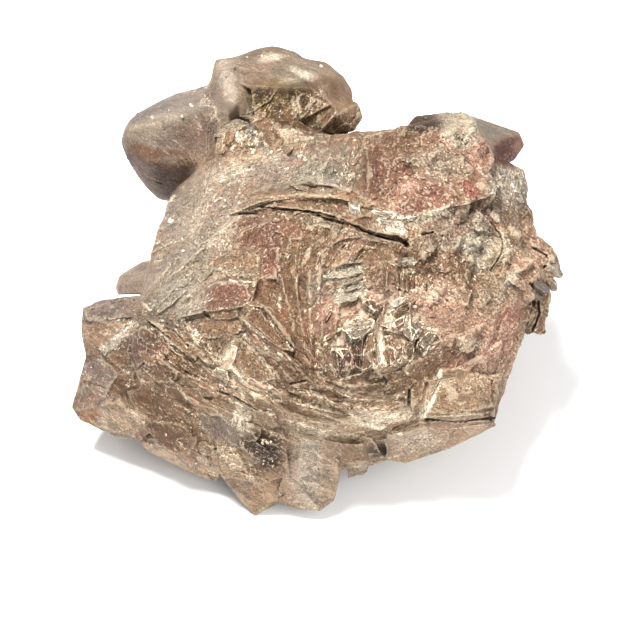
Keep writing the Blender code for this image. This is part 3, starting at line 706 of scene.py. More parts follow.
# each facet's mineral, dusty rim, height and slope, then its outline; later ones lie over earlier
FACETS: tuple[Facet, ...] = tuple(
    Facet(tuple(outline), mineral, rim, height, slope) for mineral, rim, height, slope, *outline in (
    # fan
    (BRICK, 0.25, 0.7, (0.02, -0.1), (-17.3, 14.8), (-15.6, 18), (-13.8, 18.6), (-11, 17.6), (-8.6, 15.4),
     (-8.4, 14.2), (-11.6, 14.4), (-15, 14.2)),
    (BRICK, 0.3, 0.6, (0, -0.15), (-9.6, 19.6), (-7, 20.2), (-4, 18.6), (-3, 17.4), (-3.4, 16), (-6, 16),
     (-9, 17.6)),
    (BRICK, 0.3, 0.9, (0.03, 0.02), (-11.4, 14.2), (-8.2, 14.8), (-7.9, 10.4), (-8.4, 7.8), (-11.9, 8.4),
     (-12, 11)),
    (BRICK, 0.6, 1, (0.05, 0.06), (-20.4, 7.2), (-17.6, 7.8), (-14.4, 7.2), (-13.6, 4.8), (-14.8, 2.9),
     (-18, 2.4), (-22.9, 1.5), (-23.5, 3), (-21.6, 6)),
    (UMBER, 0.3, 0.6, (0, -0.1), (-23, 1.4), (-16.8, 2.2), (-15.8, 0.5), (-18, 0), (-22, 0.1)),
    (BRONZE, 0.3, 0.5, (0, -0.08), (-24, -0.5), (-16.4, -0.1), (-15, -2.2), (-18.4, -3.5), (-22.6, -4),
     (-24, -2.6)),
    (ASH, 0.4, 0.6, (0, -0.15), (-18.6, 10), (-17.2, 9.9), (-12, 10), (-12.4, 8.7), (-18.4, 8.7)),
    (BRONZE, 0.3, 0.3, (0, -0.1), (-21.8, 12.4), (-15, 13.6), (-12, 13.4), (-12.2, 10.4), (-19.4, 10.2),
     (-22.2, 10.8)),
    (UMBER, 0.9, 1.9, (-0.02, -0.06), (-15.4, 0.4), (-13.8, 2.5), (-12, 2.2), (-8.2, -2), (-5, -6.2),
     (-8, -6.2), (-12, -3.4), (-13.8, -2.2)),
    (UMBER, 0.3, 1.5, (0.02, -0.1), (-11.4, 2.6), (-9.6, 1.6), (-5.8, -3.2), (-4.6, -6.4), (-7.6, -3.2)),
    (BRONZE, 0.5, 1, (-0.03, -0.12), (-13.8, -2.6), (-10.8, -3.6), (-5, -7.6), (-5.4, -8.4), (-9, -8.2),
     (-13.2, -5.4)),
    (BRONZE, 0.7, 0.9, (0, -0.05), (-16.2, -5.2), (-14.4, -4), (-12.4, -6.6), (-8.8, -8.4), (-7, -10.6),
     (-9.4, -12.4), (-13.4, -12), (-16.8, -10.4), (-17.2, -7.6)),
    (UMBER, 0.5, 0.8, (-0.12, -0.1), (0, 14.2), (3, 15.2), (4.6, 14.2), (1.4, 10.4), (0.2, 11)),
    (TAN, 0.6, 0.6, (0.1, -0.1), (4.6, 14.4), (6.6, 13.6), (4.2, 10.6), (1.6, 10.2)),
    (UMBER, 0.4, 0.6, (0.08, -0.05), (-12.6, 8), (-9, 7.6), (-8.8, 3.6), (-11, 2.8), (-13.2, 4.6)),
    (UMBER, 0.2, 0.5, (0.1, -0.1), (9, 9.6), (10.6, 11.4), (13.4, 10.6), (13.8, 7), (12.6, 4.8),
     (10.8, 5.4), (9.4, 7.4)),
    # ledges
    (UMBER, 0.7, 0.9, (-0.02, -0.15), (-6.4, -12.6), (-1, -12), (1.2, -12.6), (3.4, -14), (0, -14.2),
     (-4.4, -13.8)),
    (BRONZE, 0.5, 0.8, (0, -0.1), (1.4, -12.2), (4.2, -13.4), (9, -13.6), (12, -12.6), (10, -11.6),
     (5, -11.4)),
    (UMBER, 0.7, 0.9, (0, -0.2), (2.4, -14.2), (5.4, -15.6), (9.6, -16), (13.4, -15.4), (9, -14.4),
     (5, -13.8)),
    (BRONZE, 0.7, 0.9, (-0.03, -0.2), (-7, -14), (-2, -14.4), (3, -16.2), (7, -17.4), (2, -17.2),
     (-4, -15.8)),
    (UMBER, 0.6, 0.8, (-0.03, -0.2), (-6, -16.4), (0, -17), (5, -18.6), (8.6, -19.2), (3, -19.6),
     (-3.4, -18.2)),
    (BRONZE, 0.6, 0.7, (-0.03, -0.2), (-10, -16.6), (-4.6, -18.4), (1, -20.2), (6, -21), (0, -21.4),
     (-7, -19.4)),
    (BRONZE, 0.6, 0.8, (0, -0.15), (7.4, -16.2), (13, -16), (17.4, -16.8), (16, -18.6), (10, -18.4)),
    (CREAM, 0.8, 0.7, (0, -0.2), (8, -18.8), (13, -18.8), (17.8, -18.4), (17.4, -20.2), (11, -20.8)),
    (BRONZE, 0.5, 0.7, (0.02, -0.08), (12, -10.4), (16.6, -10.2), (19.6, -12), (17.8, -14), (13.6, -13)),
    (BRONZE, 0.6, 0.8, (0.06, -0.05), (18.2, -13.4), (21.4, -11.6), (20.8, -15.4), (18.4, -18.4),
     (17.8, -16)),
    (TAN, 0.5, 0.6, (0, -0.15), (1, -20.8), (7.6, -21.4), (14, -21.6), (13, -23.2), (5, -23.2)),
    # steps
    (BRONZE, 0.8, 1.4, (0.04, -0.1), (-34.4, -0.1), (-32.8, -0.1), (-28.8, -3.2), (-24.2, -7), (-24.8, -8),
     (-30, -4.8)),
    (SMOKE, 0.6, 1.2, (0, -0.12), (-37, -1.8), (-34.6, -0.5), (-30.4, -4.6), (-26.4, -7.8), (-27.4, -9),
     (-31.8, -6.6), (-36.2, -4)),
    (MAROON, 0.4, 1, (-0.1, -0.05), (-37.6, -3.8), (-36, -4.2), (-34.4, -5.6), (-34.8, -8.6), (-36.6, -9.6),
     (-37.8, -7)),
    (PEAT, 0.4, 1.1, (0.02, -0.03), (-35.2, -7.8), (-33, -6.8), (-30.6, -8.4), (-28.2, -10.8),
     (-29.2, -12.8), (-32.4, -12.6), (-35.4, -10.4)),
    (UMBER, 0.5, 1.3, (-0.05, -0.1), (-36.6, -6), (-34.8, -6), (-32.6, -8.2), (-33.4, -9.4), (-35.6, -8.6)),
    (BRONZE, 0.7, 1.1, (0.02, -0.12), (-29.6, -1.8), (-28.4, -2), (-23.6, -6.2), (-21.4, -8.8), (-22.6, -9),
     (-26.4, -6)),
    (PEAT, 0.6, 0.9, (0, -0.12), (-30.2, -5.4), (-26.2, -8.2), (-22.2, -10.8), (-22.8, -12), (-27.6, -10.2),
     (-30.6, -7.6)),
    (BRONZE, 0.5, 0.8, (0, -0.1), (-28.4, -11), (-26.2, -10.8), (-20.6, -13.6), (-19.6, -15.4),
     (-23.4, -15.6), (-28, -12.8)),
    (BRONZE, 0.6, 1, (0, -0.08), (-28.8, -13), (-25.8, -13), (-21.8, -16.4), (-18, -19.8), (-21.6, -19),
     (-26.8, -16.2)),
    (UMBER, 0.5, 0.8, (0.03, -0.08), (-22, -16.2), (-19.8, -14.6), (-15.6, -16.6), (-16.4, -19.8),
     (-19, -19.4)),
    (UMBER, 0.8, 0.9, (0, -0.15), (-21.2, -11.8), (-18.6, -12.8), (-12.4, -16.4), (-9.4, -17.8),
     (-12.4, -17.8), (-19.4, -14.4)),
    (CREAM, 0.8, 0.7, (-0.05, -0.1), (-26.4, -1.2), (-24.6, -1), (-24.2, -3.4), (-22.6, -5.6),
     (-25.4, -4.6)),
    (PEARL, 0.5, 0.9, (-0.05, -0.1), (-17, -16.8), (-14.4, -17), (-13.6, -19.4), (-14.8, -21.6),
     (-16.8, -20.8)),
    (SAND, 0.6, 0.7, (0, -0.1), (-13.6, -17.6), (-9.8, -18.6), (-8, -21.4), (-11, -22), (-13.4, -20.4)),
    # crystals at the left and below
    (DUSK, 0.15, 0.3, (0, -0.2), (-47.5, 2.2), (-42, 3.5), (-37.5, 0.5), (-46.5, -0.5)),
    (BRONZE, 0.1, 0.2, (0.1, 0.05), (-47.5, -0.8), (-38, -0.2), (-37.5, -1.5), (-44.5, -6), (-47.2, -6.5)),
    # painted highlight: the pale streak across the upper crystal, which is also tilted up
    (SILVER, 0.5, 0.5, (0.1, -0.3), (-44.5, -5.8), (-37.5, 0), (-37, -1.5), (-43, -7.5)),
    (PEAT, 0.3, 0.2, (0.1, 0.15), (-43, -7.5), (-38, -3), (-37.8, -9), (-40.5, -10.5)),
    (DUSK, 0.1, 0.5, (-0.1, -0.1), (-47, -8.5), (-43.5, -7.5), (-40, -11), (-42, -14), (-47.3, -12)),
    (PEAT, 0.2, 0.4, (0.15, 0.2), (-40, -10.5), (-37, -10), (-37, -13), (-39.5, -15.5), (-42, -14)),
    (DUSK, 0.1, 0.4, (-0.1, 0.1), (-47.5, -12.5), (-42, -14), (-43.5, -17.5), (-49, -18.5)),
    (TAN, 0.15, 0.6, (0, -0.15), (-43.5, -17.5), (-40, -15.5), (-35.5, -21), (-37, -23.5), (-42.5, -22)),
    (PEAT, 0.4, 0.5, (0, 0.12), (-38.8, -14), (-35.5, -13.5), (-30, -16), (-25, -18), (-28, -20),
     (-34.5, -19), (-38, -17.5)),
    (PEAT, 0.5, 0.5, (0.08, 0.1), (-35, -20), (-28, -20.5), (-24, -24), (-26, -27), (-32, -25.5),
     (-34.5, -23)),
    (DUSK, 0.6, 0.6, (0, -0.1), (-24.5, -18.5), (-20, -19.5), (-16, -22), (-15, -26), (-21, -24),
     (-24, -22)),
    (SAND, 0.6, 0.4, (-0.05, -0.1), (-23, -25), (-16, -27), (-14, -31), (-20, -32), (-24, -29)),
    (TAN, 0.3, 0.3, (0, -0.15), (-17, -34), (-12, -34), (-9.5, -37), (-13.5, -39.2)),
    (SAND, 0.5, 0.4, (0, -0.1), (-35.5, -23.5), (-31, -26), (-24, -29), (-21.5, -32), (-25, -31),
     (-31, -28.5), (-35, -26)),
    (PEARL, 0.5, 0.4, (-0.15, 0), (-4, -25), (0, -24), (-0.6, -38), (-3, -37), (-4.6, -30)),
    (SAND, 0.4, 0.4, (0.15, 0), (0, -24), (3.6, -27), (3.8, -35), (-0.6, -38)),
    # under the hollow behind the rim
    (BRONZE, 0.4, 0.3, (0.1, 0), (-13.2, 39.5), (-10, 41), (-8.7, 36.2), (-9.5, 32.5), (-12, 36)),
    (CREAM, 0.6, 0.3, (0, 0.1), (-8.8, 38.5), (-4, 38), (-2.5, 36), (-7, 35)),
    (ASH, 0.4, 0.3, (0.1, 0.1), (-2.5, 37.5), (0.5, 37), (1.5, 35), (-0.5, 35.5)),
    # arch and block
    (TAN, 0.3, 0.5, (0, -0.06), (-17.6, 22), (-12, 24.6), (-4, 25.6), (4, 25), (6, 21.4), (0, 22.4),
     (-8, 23.2)),
    (ASH, 0.4, 0.4, (0, -0.12), (-6.4, 21), (0, 20.4), (8, 17.4), (14, 15), (9, 15.8), (0, 18.6)),
    (BRICK, 0.5, 0.3, (0, -0.05), (16.4, 23.6), (20, 26.8), (24, 27.2), (25.4, 24.4), (23, 22.4), (18, 21)),
    (CREAM, 0.7, 0.6, (0, -0.2), (16, 20.6), (21, 21.6), (26, 23.2), (25.6, 21.8), (20.6, 19.8),
     (16.4, 19.6)),
    (CREAM, 0.9, 0.7, (0, -0.12), (12, 20.4), (14.4, 21.6), (16.6, 20.6), (16.6, 17.6), (13.8, 17.4),
     (11.6, 18.8)),
    (TAN, 0, 0.5, (0, -0.04), (21.6, -12), (24.6, -9.4), (33.6, -10.8), (34.6, -13), (34.4, -17.4),
     (28, -19), (20.4, -18.6)),
    (UMBER, 0.3, 0.4, (0.02, -0.05), (22.6, 13), (27.6, 13.8), (30.6, 11.6), (28.6, 9), (22.6, 9.4),
     (20.6, 10.6)),
    (LILAC, 0.2, 0.3, (-0.05, 0), (-26, 16), (-20, 26), (-14, 30), (-16, 25), (-24, 14)),
    (LILAC, 0.2, 0.3, (0, -0.03), (-14, 31), (-6, 33), (-2, 31), (-8, 27.6), (-15, 27)),
))


# ---------------- broken surfaces in numbers


@dataclass(frozen=True)
class Break:
    """What a layer does at each point, with the place on its own shard (along, over)."""

    height: np.ndarray
    seam: np.ndarray
    tone: np.ndarray
    along: np.ndarray
    over: np.ndarray


class Nearest:
    """The nearest cell of each point, as one cell after another is offered."""

    def __init__(self, count: int) -> None:
        """Starts with nothing near.

        Args:
            count: the number of points.
        """
        self.best = np.full(count, FAR)
        self.second = np.full(count, FAR)
        self.cell = np.zeros(count, dtype=int)

    def offer(self, cell: np.ndarray, far: np.ndarray) -> np.ndarray:
        """Takes the offered cells where they are nearer.

        Args:
            cell: one cell for each point.
            far: the squares of their distances.

        Returns:
            Where they were taken.
        """
        nearer = far < self.best
        self.second = np.where(nearer, self.best, np.minimum(self.second, far))
        self.best = np.where(nearer, far, self.best)
        self.cell = np.where(nearer, cell, self.cell)
        return nearer

    def edge(self) -> np.ndarray:
        """How far each point is from the edge of its cell."""
        return np.sqrt(self.second) - np.sqrt(self.best)


@dataclass(frozen=True)
class ShardLayer:
    """One size of flat shards that lie along the flow, each tilted its own way.

    Its seams are as wide as groove and as dusty as dusting, toning is the weight of its tones,
    and broad facets calm it. The finish's streaks follow the layer that combs.
    """

    length: float
    width: float
    rise: float
    seed: int
    stray: float
    groove: float
    calmed: float
    dusting: float
    toning: float
    combs: bool = False
    reach: int = 3

    def over_face(self, u: np.ndarray, v: np.ndarray, flow: Flow) -> Break:
        """The shards' heights over the face.

        Args:
            u, v: places on the face.
            flow: the directions of the blades.

        Returns:
            Heights, seams and each shard's own coordinates.
        """
        dice = np.random.default_rng(self.seed)
        pitch = math.sqrt(self.length * self.width) * 0.9
        first_u, first_v = u.min() - 4 * pitch, v.min() - 4 * pitch
        columns = int((u.max() - first_u) / pitch) + 5
        rows = int((v.max() - first_v) / pitch) + 5
        index_u, index_v = np.meshgrid(np.arange(columns), np.arange(rows), indexing="ij")
        shape = (columns, rows)
        cell_u = first_u + (index_u + dice.uniform(0.05, 0.95, shape)) * pitch
        cell_v = first_v + (index_v + dice.uniform(0.05, 0.95, shape)) * pitch
        angle = flow.angle(cell_u.ravel(), cell_v.ravel()).reshape(shape)
        angle += np.radians(dice.normal(0.0, self.stray, shape))
        cosine, sine = np.cos(angle), np.sin(angle)
        bulk = dice.uniform(0.75, 1.35, shape)
        tilt_over = dice.uniform(-1.0, 1.0, shape)
        tilt_along = dice.uniform(-0.5, 0.5, shape)
        lift = dice.uniform(-1.0, 1.0, shape)
        tone = dice.uniform(0.0, 1.0, shape)

        column = ((u - first_u) / pitch).astype(int)
        row = ((v - first_v) / pitch).astype(int)
        nearest = Nearest(len(u))
        own_along, own_over = np.zeros_like(u), np.zeros_like(u)
        for step_u in range(-self.reach, self.reach + 1):
            for step_v in range(-self.reach, self.reach + 1):
                cell = (
                    np.clip(column + step_u, 0, columns - 1) * rows
                    + np.clip(row + step_v, 0, rows - 1)
                )
                du = u - cell_u.ravel()[cell]
                dv = v - cell_v.ravel()[cell]
                c, s = cosine.ravel()[cell], sine.ravel()[cell]
                along = (du * c + dv * s) / self.length
                over = (dv * c - du * s) / self.width
                taken = nearest.offer(cell, (along * along + over * over) * bulk.ravel()[cell])
                own_along = np.where(taken, along, own_along)
                own_over = np.where(taken, over, own_over)
        winner = nearest.cell
        height = (
            lift.ravel()[winner] * 0.5
            + tilt_over.ravel()[winner] * np.clip(own_over, -1, 1)
            + tilt_along.ravel()[winner] * np.clip(own_along, -1, 1)
        )
        return Break(height * self.rise, nearest.edge(), tone.ravel()[winner],
                     own_along * self.length, own_over * self.width)


@dataclass(frozen=True)
class GrainLayer:
    """One size of blunt grains in space, each with a flat tilted top.

    Its seams are as deep as groove and as dusty as dusting, toning is the weight of its tones,
    and bladed is how much of it shows where the face is bladed.
    """

    size: float
    rise: float
    seed: int
    groove: float
    bladed: float
    dusting: float
    toning: float

    def over_points(self, points: np.ndarray) -> Break:
        """The grains' heights at points (u, v, w).

        Args:
            points: points in millimetres.

        Returns:
            Heights, seams and each grain's tone.
        """
        dice = np.random.default_rng(self.seed)
        first = points.min(0) - 2 * self.size
        counts = ((points.max(0) - first) / self.size).astype(int) + 3
        shape = tuple(counts)
        jitter = dice.uniform(0.0, 1.0, shape + (3,)).reshape(-1, 3)
        tilt = dice.normal(0.0, 1.0, shape + (3,)).reshape(-1, 3)
        lift = dice.uniform(-1.0, 1.0, shape).ravel()
        tone = dice.uniform(0.0, 1.0, shape).ravel()
        base = ((points - first) / self.size).astype(int)
        nearest = Nearest(len(points))
        offset = np.zeros_like(points)
        for step in np.ndindex(3, 3, 3):
            cell3 = np.clip(base + np.array(step) - 1, 0, counts - 1)
            cell = (cell3[:, 0] * counts[1] + cell3[:, 1]) * counts[2] + cell3[:, 2]
            away = (points - first) / self.size - cell3 - jitter[cell]
            taken = nearest.offer(cell, (away * away).sum(1))
            offset = np.where(taken[:, None], away, offset)
        winner = nearest.cell
        height = lift[winner] * 0.5 + (tilt[winner] * offset).sum(1) * 0.7
        return Break(height * self.rise, nearest.edge(), tone[winner], offset[:, 0], offset[:, 1])


# ---------------- meshes


def positions(mesh: Mesh) -> np.ndarray:
    """The mesh's points, one row each.

    Args:
        mesh: the mesh.

    Returns:
        The points in metres.
    """
    flat = np.empty(len(mesh.vertices) * 3)
    mesh.vertices.foreach_get("co", flat)
    return flat.reshape(-1, 3)


def normals(mesh: Mesh) -> np.ndarray:
    """The mesh's outward directions, one row for each point.

    Args:
        mesh: the mesh.

    Returns:
        The directions.
    """
    flat = np.empty(len(mesh.vertices) * 3)
    mesh.vertex_normals.foreach_get("vector", flat)
    return flat.reshape(-1, 3)


def place(mesh: Mesh, points: np.ndarray) -> None:
    """Moves the mesh's points."""
    mesh.vertices.foreach_set("co", np.ascontiguousarray(points, dtype=np.float32).ravel())
    mesh.update()


def smoothed(mesh: Mesh, values: np.ndarray, rounds: int) -> np.ndarray:
    """Values averaged over the mesh's edges, over and over.

    Args:
        mesh: the mesh whose edges join the points.
        values: one row or number for each point.
        rounds: how many times to average.

    Returns:
        The averaged values.
    """
    ends = np.empty(len(mesh.edges) * 2, dtype=np.int64)
    mesh.edges.foreach_get("vertices", ends)
    tail, head = ends[0::2], ends[1::2]
    count = np.bincount(ends, minlength=len(mesh.vertices)).astype(float)
    table = values.reshape(len(mesh.vertices), -1).astype(float)
    for _ in range(rounds):
        total = np.empty_like(table)
        for column in range(table.shape[1]):
            total[:, column] = (
                np.bincount(tail, table[head, column], minlength=len(table))
                + np.bincount(head, table[tail, column], minlength=len(table))
            )
        table = 0.4 * table + 0.6 * total / count[:, None]
    return table.reshape(values.shape)


def write_marks(mesh: Mesh, name: str, *channels: np.ndarray) -> None:
    """Stores three numbers for each point as a vector, or four as a colour.

    Args:
        mesh: the mesh.
        name: the attribute's name.
        channels: three or four numbers for each point.
    """
    kind, key = ("FLOAT_VECTOR", "vector") if len(channels) == 3 else ("FLOAT_COLOR", "color")
    table = np.stack(channels, axis=1).astype(np.float32)
    mesh.attributes.new(name, kind, "POINT").data.foreach_set(key, table.ravel())


def linear(colour: tuple[int, int, int]) -> np.ndarray:
    """A screen colour, 0 to 255, as linear light."""
    share = np.array(colour) / 255.0
    return np.where(share <= 0.04045, share / 12.92, ((share + 0.055) / 1.055) ** 2.4)


def meshed(form: bmesh.types.BMesh, name: str) -> Mesh:
    """A form's mesh, after which the form is gone.

    Args:
        form: the form.
        name: the mesh's name.

    Returns:
        The mesh.
    """
    mesh = bpy.data.meshes.new(name)
    form.to_mesh(mesh)
    form.free()
    return mesh


def shown(name: str, data: bpy.types.ID) -> Object:
    """A new object of the data, in the scene.

    Args:
        name: the object's name.
        data: its mesh, camera or light.

    Returns:
        The object.
    """
    piece = bpy.data.objects.new(name, data)
    bpy.context.scene.collection.objects.link(piece)
    return piece


def region_colours(
    u: np.ndarray, v: np.ndarray, front: np.ndarray
) -> tuple[np.ndarray, np.ndarray, np.ndarray]:
    """The colour, metallic share and dust of each place.

    Args:
        u, v: places on the face.
        front: how much each place belongs to the front.

    Returns:
        Colours as rows, metallic shares and dust.
    """
    state = np.tile(np.append(linear(BRONZE.colour), (BRONZE.metal, 0.0)), (len(u), 1))
    covers = [(patch.mineral, patch.spot.cover(u, v) * patch.strength) for patch in PATCHES]
    covers += [(facet.mineral, ramp(-0.4, 0.4, facet.inside(u, v)) * 0.7) for facet in FACETS]
    for mineral, cover in covers:
        share = (cover * front)[:, None]
        own = np.append(linear(mineral.colour), (mineral.metal, mineral.dust))
        state = state * (1.0 - share) + own * share
    return state[:, :3], state[:, 3], state[:, 4]


def settled(piece: Object, name: str) -> Mesh:
    """The piece's mesh with its modifiers worked in.

    Args:
        piece: the object.
        name: the new mesh's name.

    Returns:
        The new mesh.
    """
    graph = bpy.context.evaluated_depsgraph_get()
    mesh = bpy.data.meshes.new_from_object(piece.evaluated_get(graph))
    mesh.name = name
    return mesh


@dataclass(frozen=True)
class Section:
    """A part of the cluster cut out by a box in the face's frame, in mm."""

    name: str
    low: tuple[float, float, float]
    high: tuple[float, float, float]
    voxel: float
    triangles: int

    def to_cut(self, local: np.ndarray) -> np.ndarray:
        """How far points are from the nearest side of the box, in mm."""
        return np.minimum(local - np.array(self.low), np.array(self.high) - local).min(axis=1)

    def box(self) -> Object:
        """The cutting box as an object."""
        form = bmesh.new()
        bmesh.ops.create_cube(form, size=1.0)
        middle = (Vector(self.low) + Vector(self.high)) / 2
        size = Vector(self.high) - Vector(self.low)
        bmesh.ops.scale(form, vec=size, verts=form.verts)
        bmesh.ops.translate(form, vec=middle, verts=form.verts)
        bmesh.ops.transform(form, matrix=FACE.matrix(), verts=form.verts)
        return shown("box", meshed(form, "box"))


SECTIONS: tuple[Section, ...] = (
    Section("pyrite_face_left", (-90, -90, -20), (1.6, 90, 60), 0.25, 196000),
    Section("pyrite_face_right", (-1.6, -90, -20), (90, 90, 60), 0.25, 196000),
    Section("pyrite_base", (-90, -90, -90), (90, 90, -16.8), 0.4, 150000),
)


class Skin:
    """The points of one section's skin while it is broken, and the marks that they gather."""

    def __init__(self, mesh: Mesh, section: Section, texture: Texture) -> None:
        """Reads the points and works out how each of them will break.

        Args:
            mesh: the even skin.
            section: the part that it is.
            texture: which parts are granular, smooth or quiet.
        """
        self.local = FACE.local(positions(mesh))
        self.outward = normals(mesh) @ FACE.axes().T
        self.u, self.v = FACE.seen(self.local)
        to_cut = section.to_cut(self.local)
        self.sunk = ramp(1.3, 0.5, to_cut) * 0.3
        granular, self.smooth = texture.weights(self.u, self.v)
        facing = ramp(0.05, 0.45, self.outward[:, 2]) * ramp(-24.0, -20.0, self.local[:, 2])
        self.facing = np.where((to_cut < 0.3) & (self.outward[:, 2] > 0.98), 0.0, facing)
        quiet = joined(texture.quiet, self.u, self.v)
        self.bladed = (1.0 - granular - 0.85 * self.smooth) * self.facing * (1.0 - 0.5 * quiet)
        self.rough = np.clip(granular + (1.0 - self.facing) * 0.6 * (1.0 - self.smooth), 0, 1)
        self.patchy = ramp(-0.1, 0.6, waves(self.local, 9.0, 31))
        self.ragged = 0.14 * waves(self.local, 1.6, 41)
        self.flaked = ramp(-0.1, 0.5, waves(self.local, 3.2, 42))
        self.seam, self.tone, self.crack = (np.zeros_like(self.u) for _ in range(3))
        self.calm, self.stand, self.own_tone = (np.zeros_like(self.u) for _ in range(3))
        self.grain = np.zeros((len(self.u), 3))

    def lay_facets(self) -> None:
        """Lays the skin on the planes of the broad facets, and dusts their rims."""
        dice = random.Random(8)
        for facet in FACETS:
            near = nearby(self.u, self.v, facet.outline)
            depth = facet.inside(self.u[near], self.v[near]) + self.ragged[near]
            cover = ramp(-0.15, 0.35, depth) * self.facing[near]
            lifted = facet.stand(self.u[near], self.v[near], self.local[near, 2], cover)
            self.stand[near] += (lifted - self.stand[near]) * cover
            self.own_tone[near] += (dice.uniform(0.3, 0.8) - self.own_tone[near]) * cover
            self.calm[near] = np.maximum(self.calm[near], cover)
            band = ramp(0.35, 0.05, np.abs(depth - 0.1)) * self.facing[near] * facet.rim
            band *= 0.15 + 0.75 * self.flaked[near]
            self.seam[near] = np.maximum(self.seam[near] * (1.0 - cover * 0.9), band)

    def lay_shards(self, layers: tuple[ShardLayer, ...], flow: Flow) -> np.ndarray:
        """Breaks the bladed parts into shards.

        Args:
            layers: the sizes of shards.
            flow: the directions of the blades.

        Returns:
            How far each point rises out of the face, in mm.
        """
        rise = np.zeros_like(self.u)
        for layer in layers:
            broken = layer.over_face(self.u, self.v, flow)
            groove = ramp(layer.groove, 0.0, broken.seam)
            share = self.bladed * (1.0 - self.calm * layer.calmed)
            rise += share * (broken.height - groove * layer.rise * 0.2)
            self.seam = np.maximum(self.seam, share * groove * self.patchy * layer.dusting)
            self.tone += share * broken.tone * layer.toning
            if layer.combs:
                place = np.stack((broken.along, broken.over, broken.tone * 4.0), axis=1)
                self.grain += self.bladed[:, None] * place
        return rise

    def strew_grains(self, layers: tuple[GrainLayer, ...]) -> np.ndarray:
        """Breaks the granular parts and the crust into grains.

        Args:
            layers: the sizes of grains.

        Returns:
            How far each point moves outward, in mm.
        """
        side = np.zeros_like(self.u)
        for layer in layers:
            broken = layer.over_points(self.local)
            groove = ramp(0.16, 0.0, broken.seam) * layer.groove
            share = self.rough + 0.16 * self.smooth + layer.bladed * self.bladed
            side += share * (broken.height - groove * layer.rise)
            self.seam = np.maximum(self.seam, self.rough * groove * self.patchy * layer.dusting)
            self.tone += (1.0 - self.bladed) * broken.tone * layer.toning
        return side + self.rough * 0.3 * waves(self.local, 5.0, 32)

    def comb_grains(self) -> None:
        """Gives facets a tone of their own, and unbladed parts one direction of streaks."""
        self.tone = self.tone * (1.0 - self.calm) + self.own_tone * self.calm
        turn = math.radians(-35.0)
        turned = np.stack((self.u * math.cos(turn) + self.v * math.sin(turn),
                           self.v * math.cos(turn) - self.u * math.sin(turn), self.local[:, 2]), axis=1)
        self.grain += (1.0 - self.bladed)[:, None] * turned

    def dust_lines(self) -> None:
        """Dusts the ground round the middle crystals, and the veins."""
        for crystal in MIDDLE_CRYSTALS:
            base = crystal.footprint()
            near = nearby(self.u, self.v, base.outline)
            gap = np.abs(base.inside(self.u[near], self.v[near]) + self.ragged[near])
            pale = ramp(0.4, 0.15, gap) * self.facing[near] * crystal.rim * 0.7
            self.seam[near] = np.maximum(self.seam[near], pale)
        for vein in VEINS:
            near = nearby(self.u, self.v, vein.track)
            gap = vein.gap(self.u[near], self.v[near]) + self.ragged[near]
            pale = ramp(vein.width, vein.width * 0.2, gap) * self.facing[near] * vein.force
            pale *= 0.55 + 0.45 * self.flaked[near]
            self.seam[near] = np.maximum(self.seam[near], pale)

    def open_rifts(self) -> None:
        """Sinks the cracks, and marks where the finish paints shade inside them."""
        for rift in RIFTS:
            near = nearby(self.u, self.v, rift.track)
            gap = rift.gap(self.u[near], self.v[near]) + self.ragged[near] * 0.7
            cover = ramp(rift.width, rift.width * 0.3, gap) * self.facing[near]
            self.local[near, 2] -= cover * rift.force
            self.crack[near] = np.maximum(self.crack[near], cover)

    def store(self, mesh: Mesh) -> None:
        """Moves the mesh's points over the floor and writes their marks.

        Args:
            mesh: the mesh that the skin came from.
        """
        moved = FACE.world(self.local)
        moved[:, 2] = np.maximum(moved[:, 2], 0.0)
        place(mesh, moved)
        seam = self.seam * (1.0 - self.crack)
        write_marks(mesh, "breaks", seam, self.tone, self.crack, self.smooth)
        write_marks(mesh, "grain", *self.grain.T)


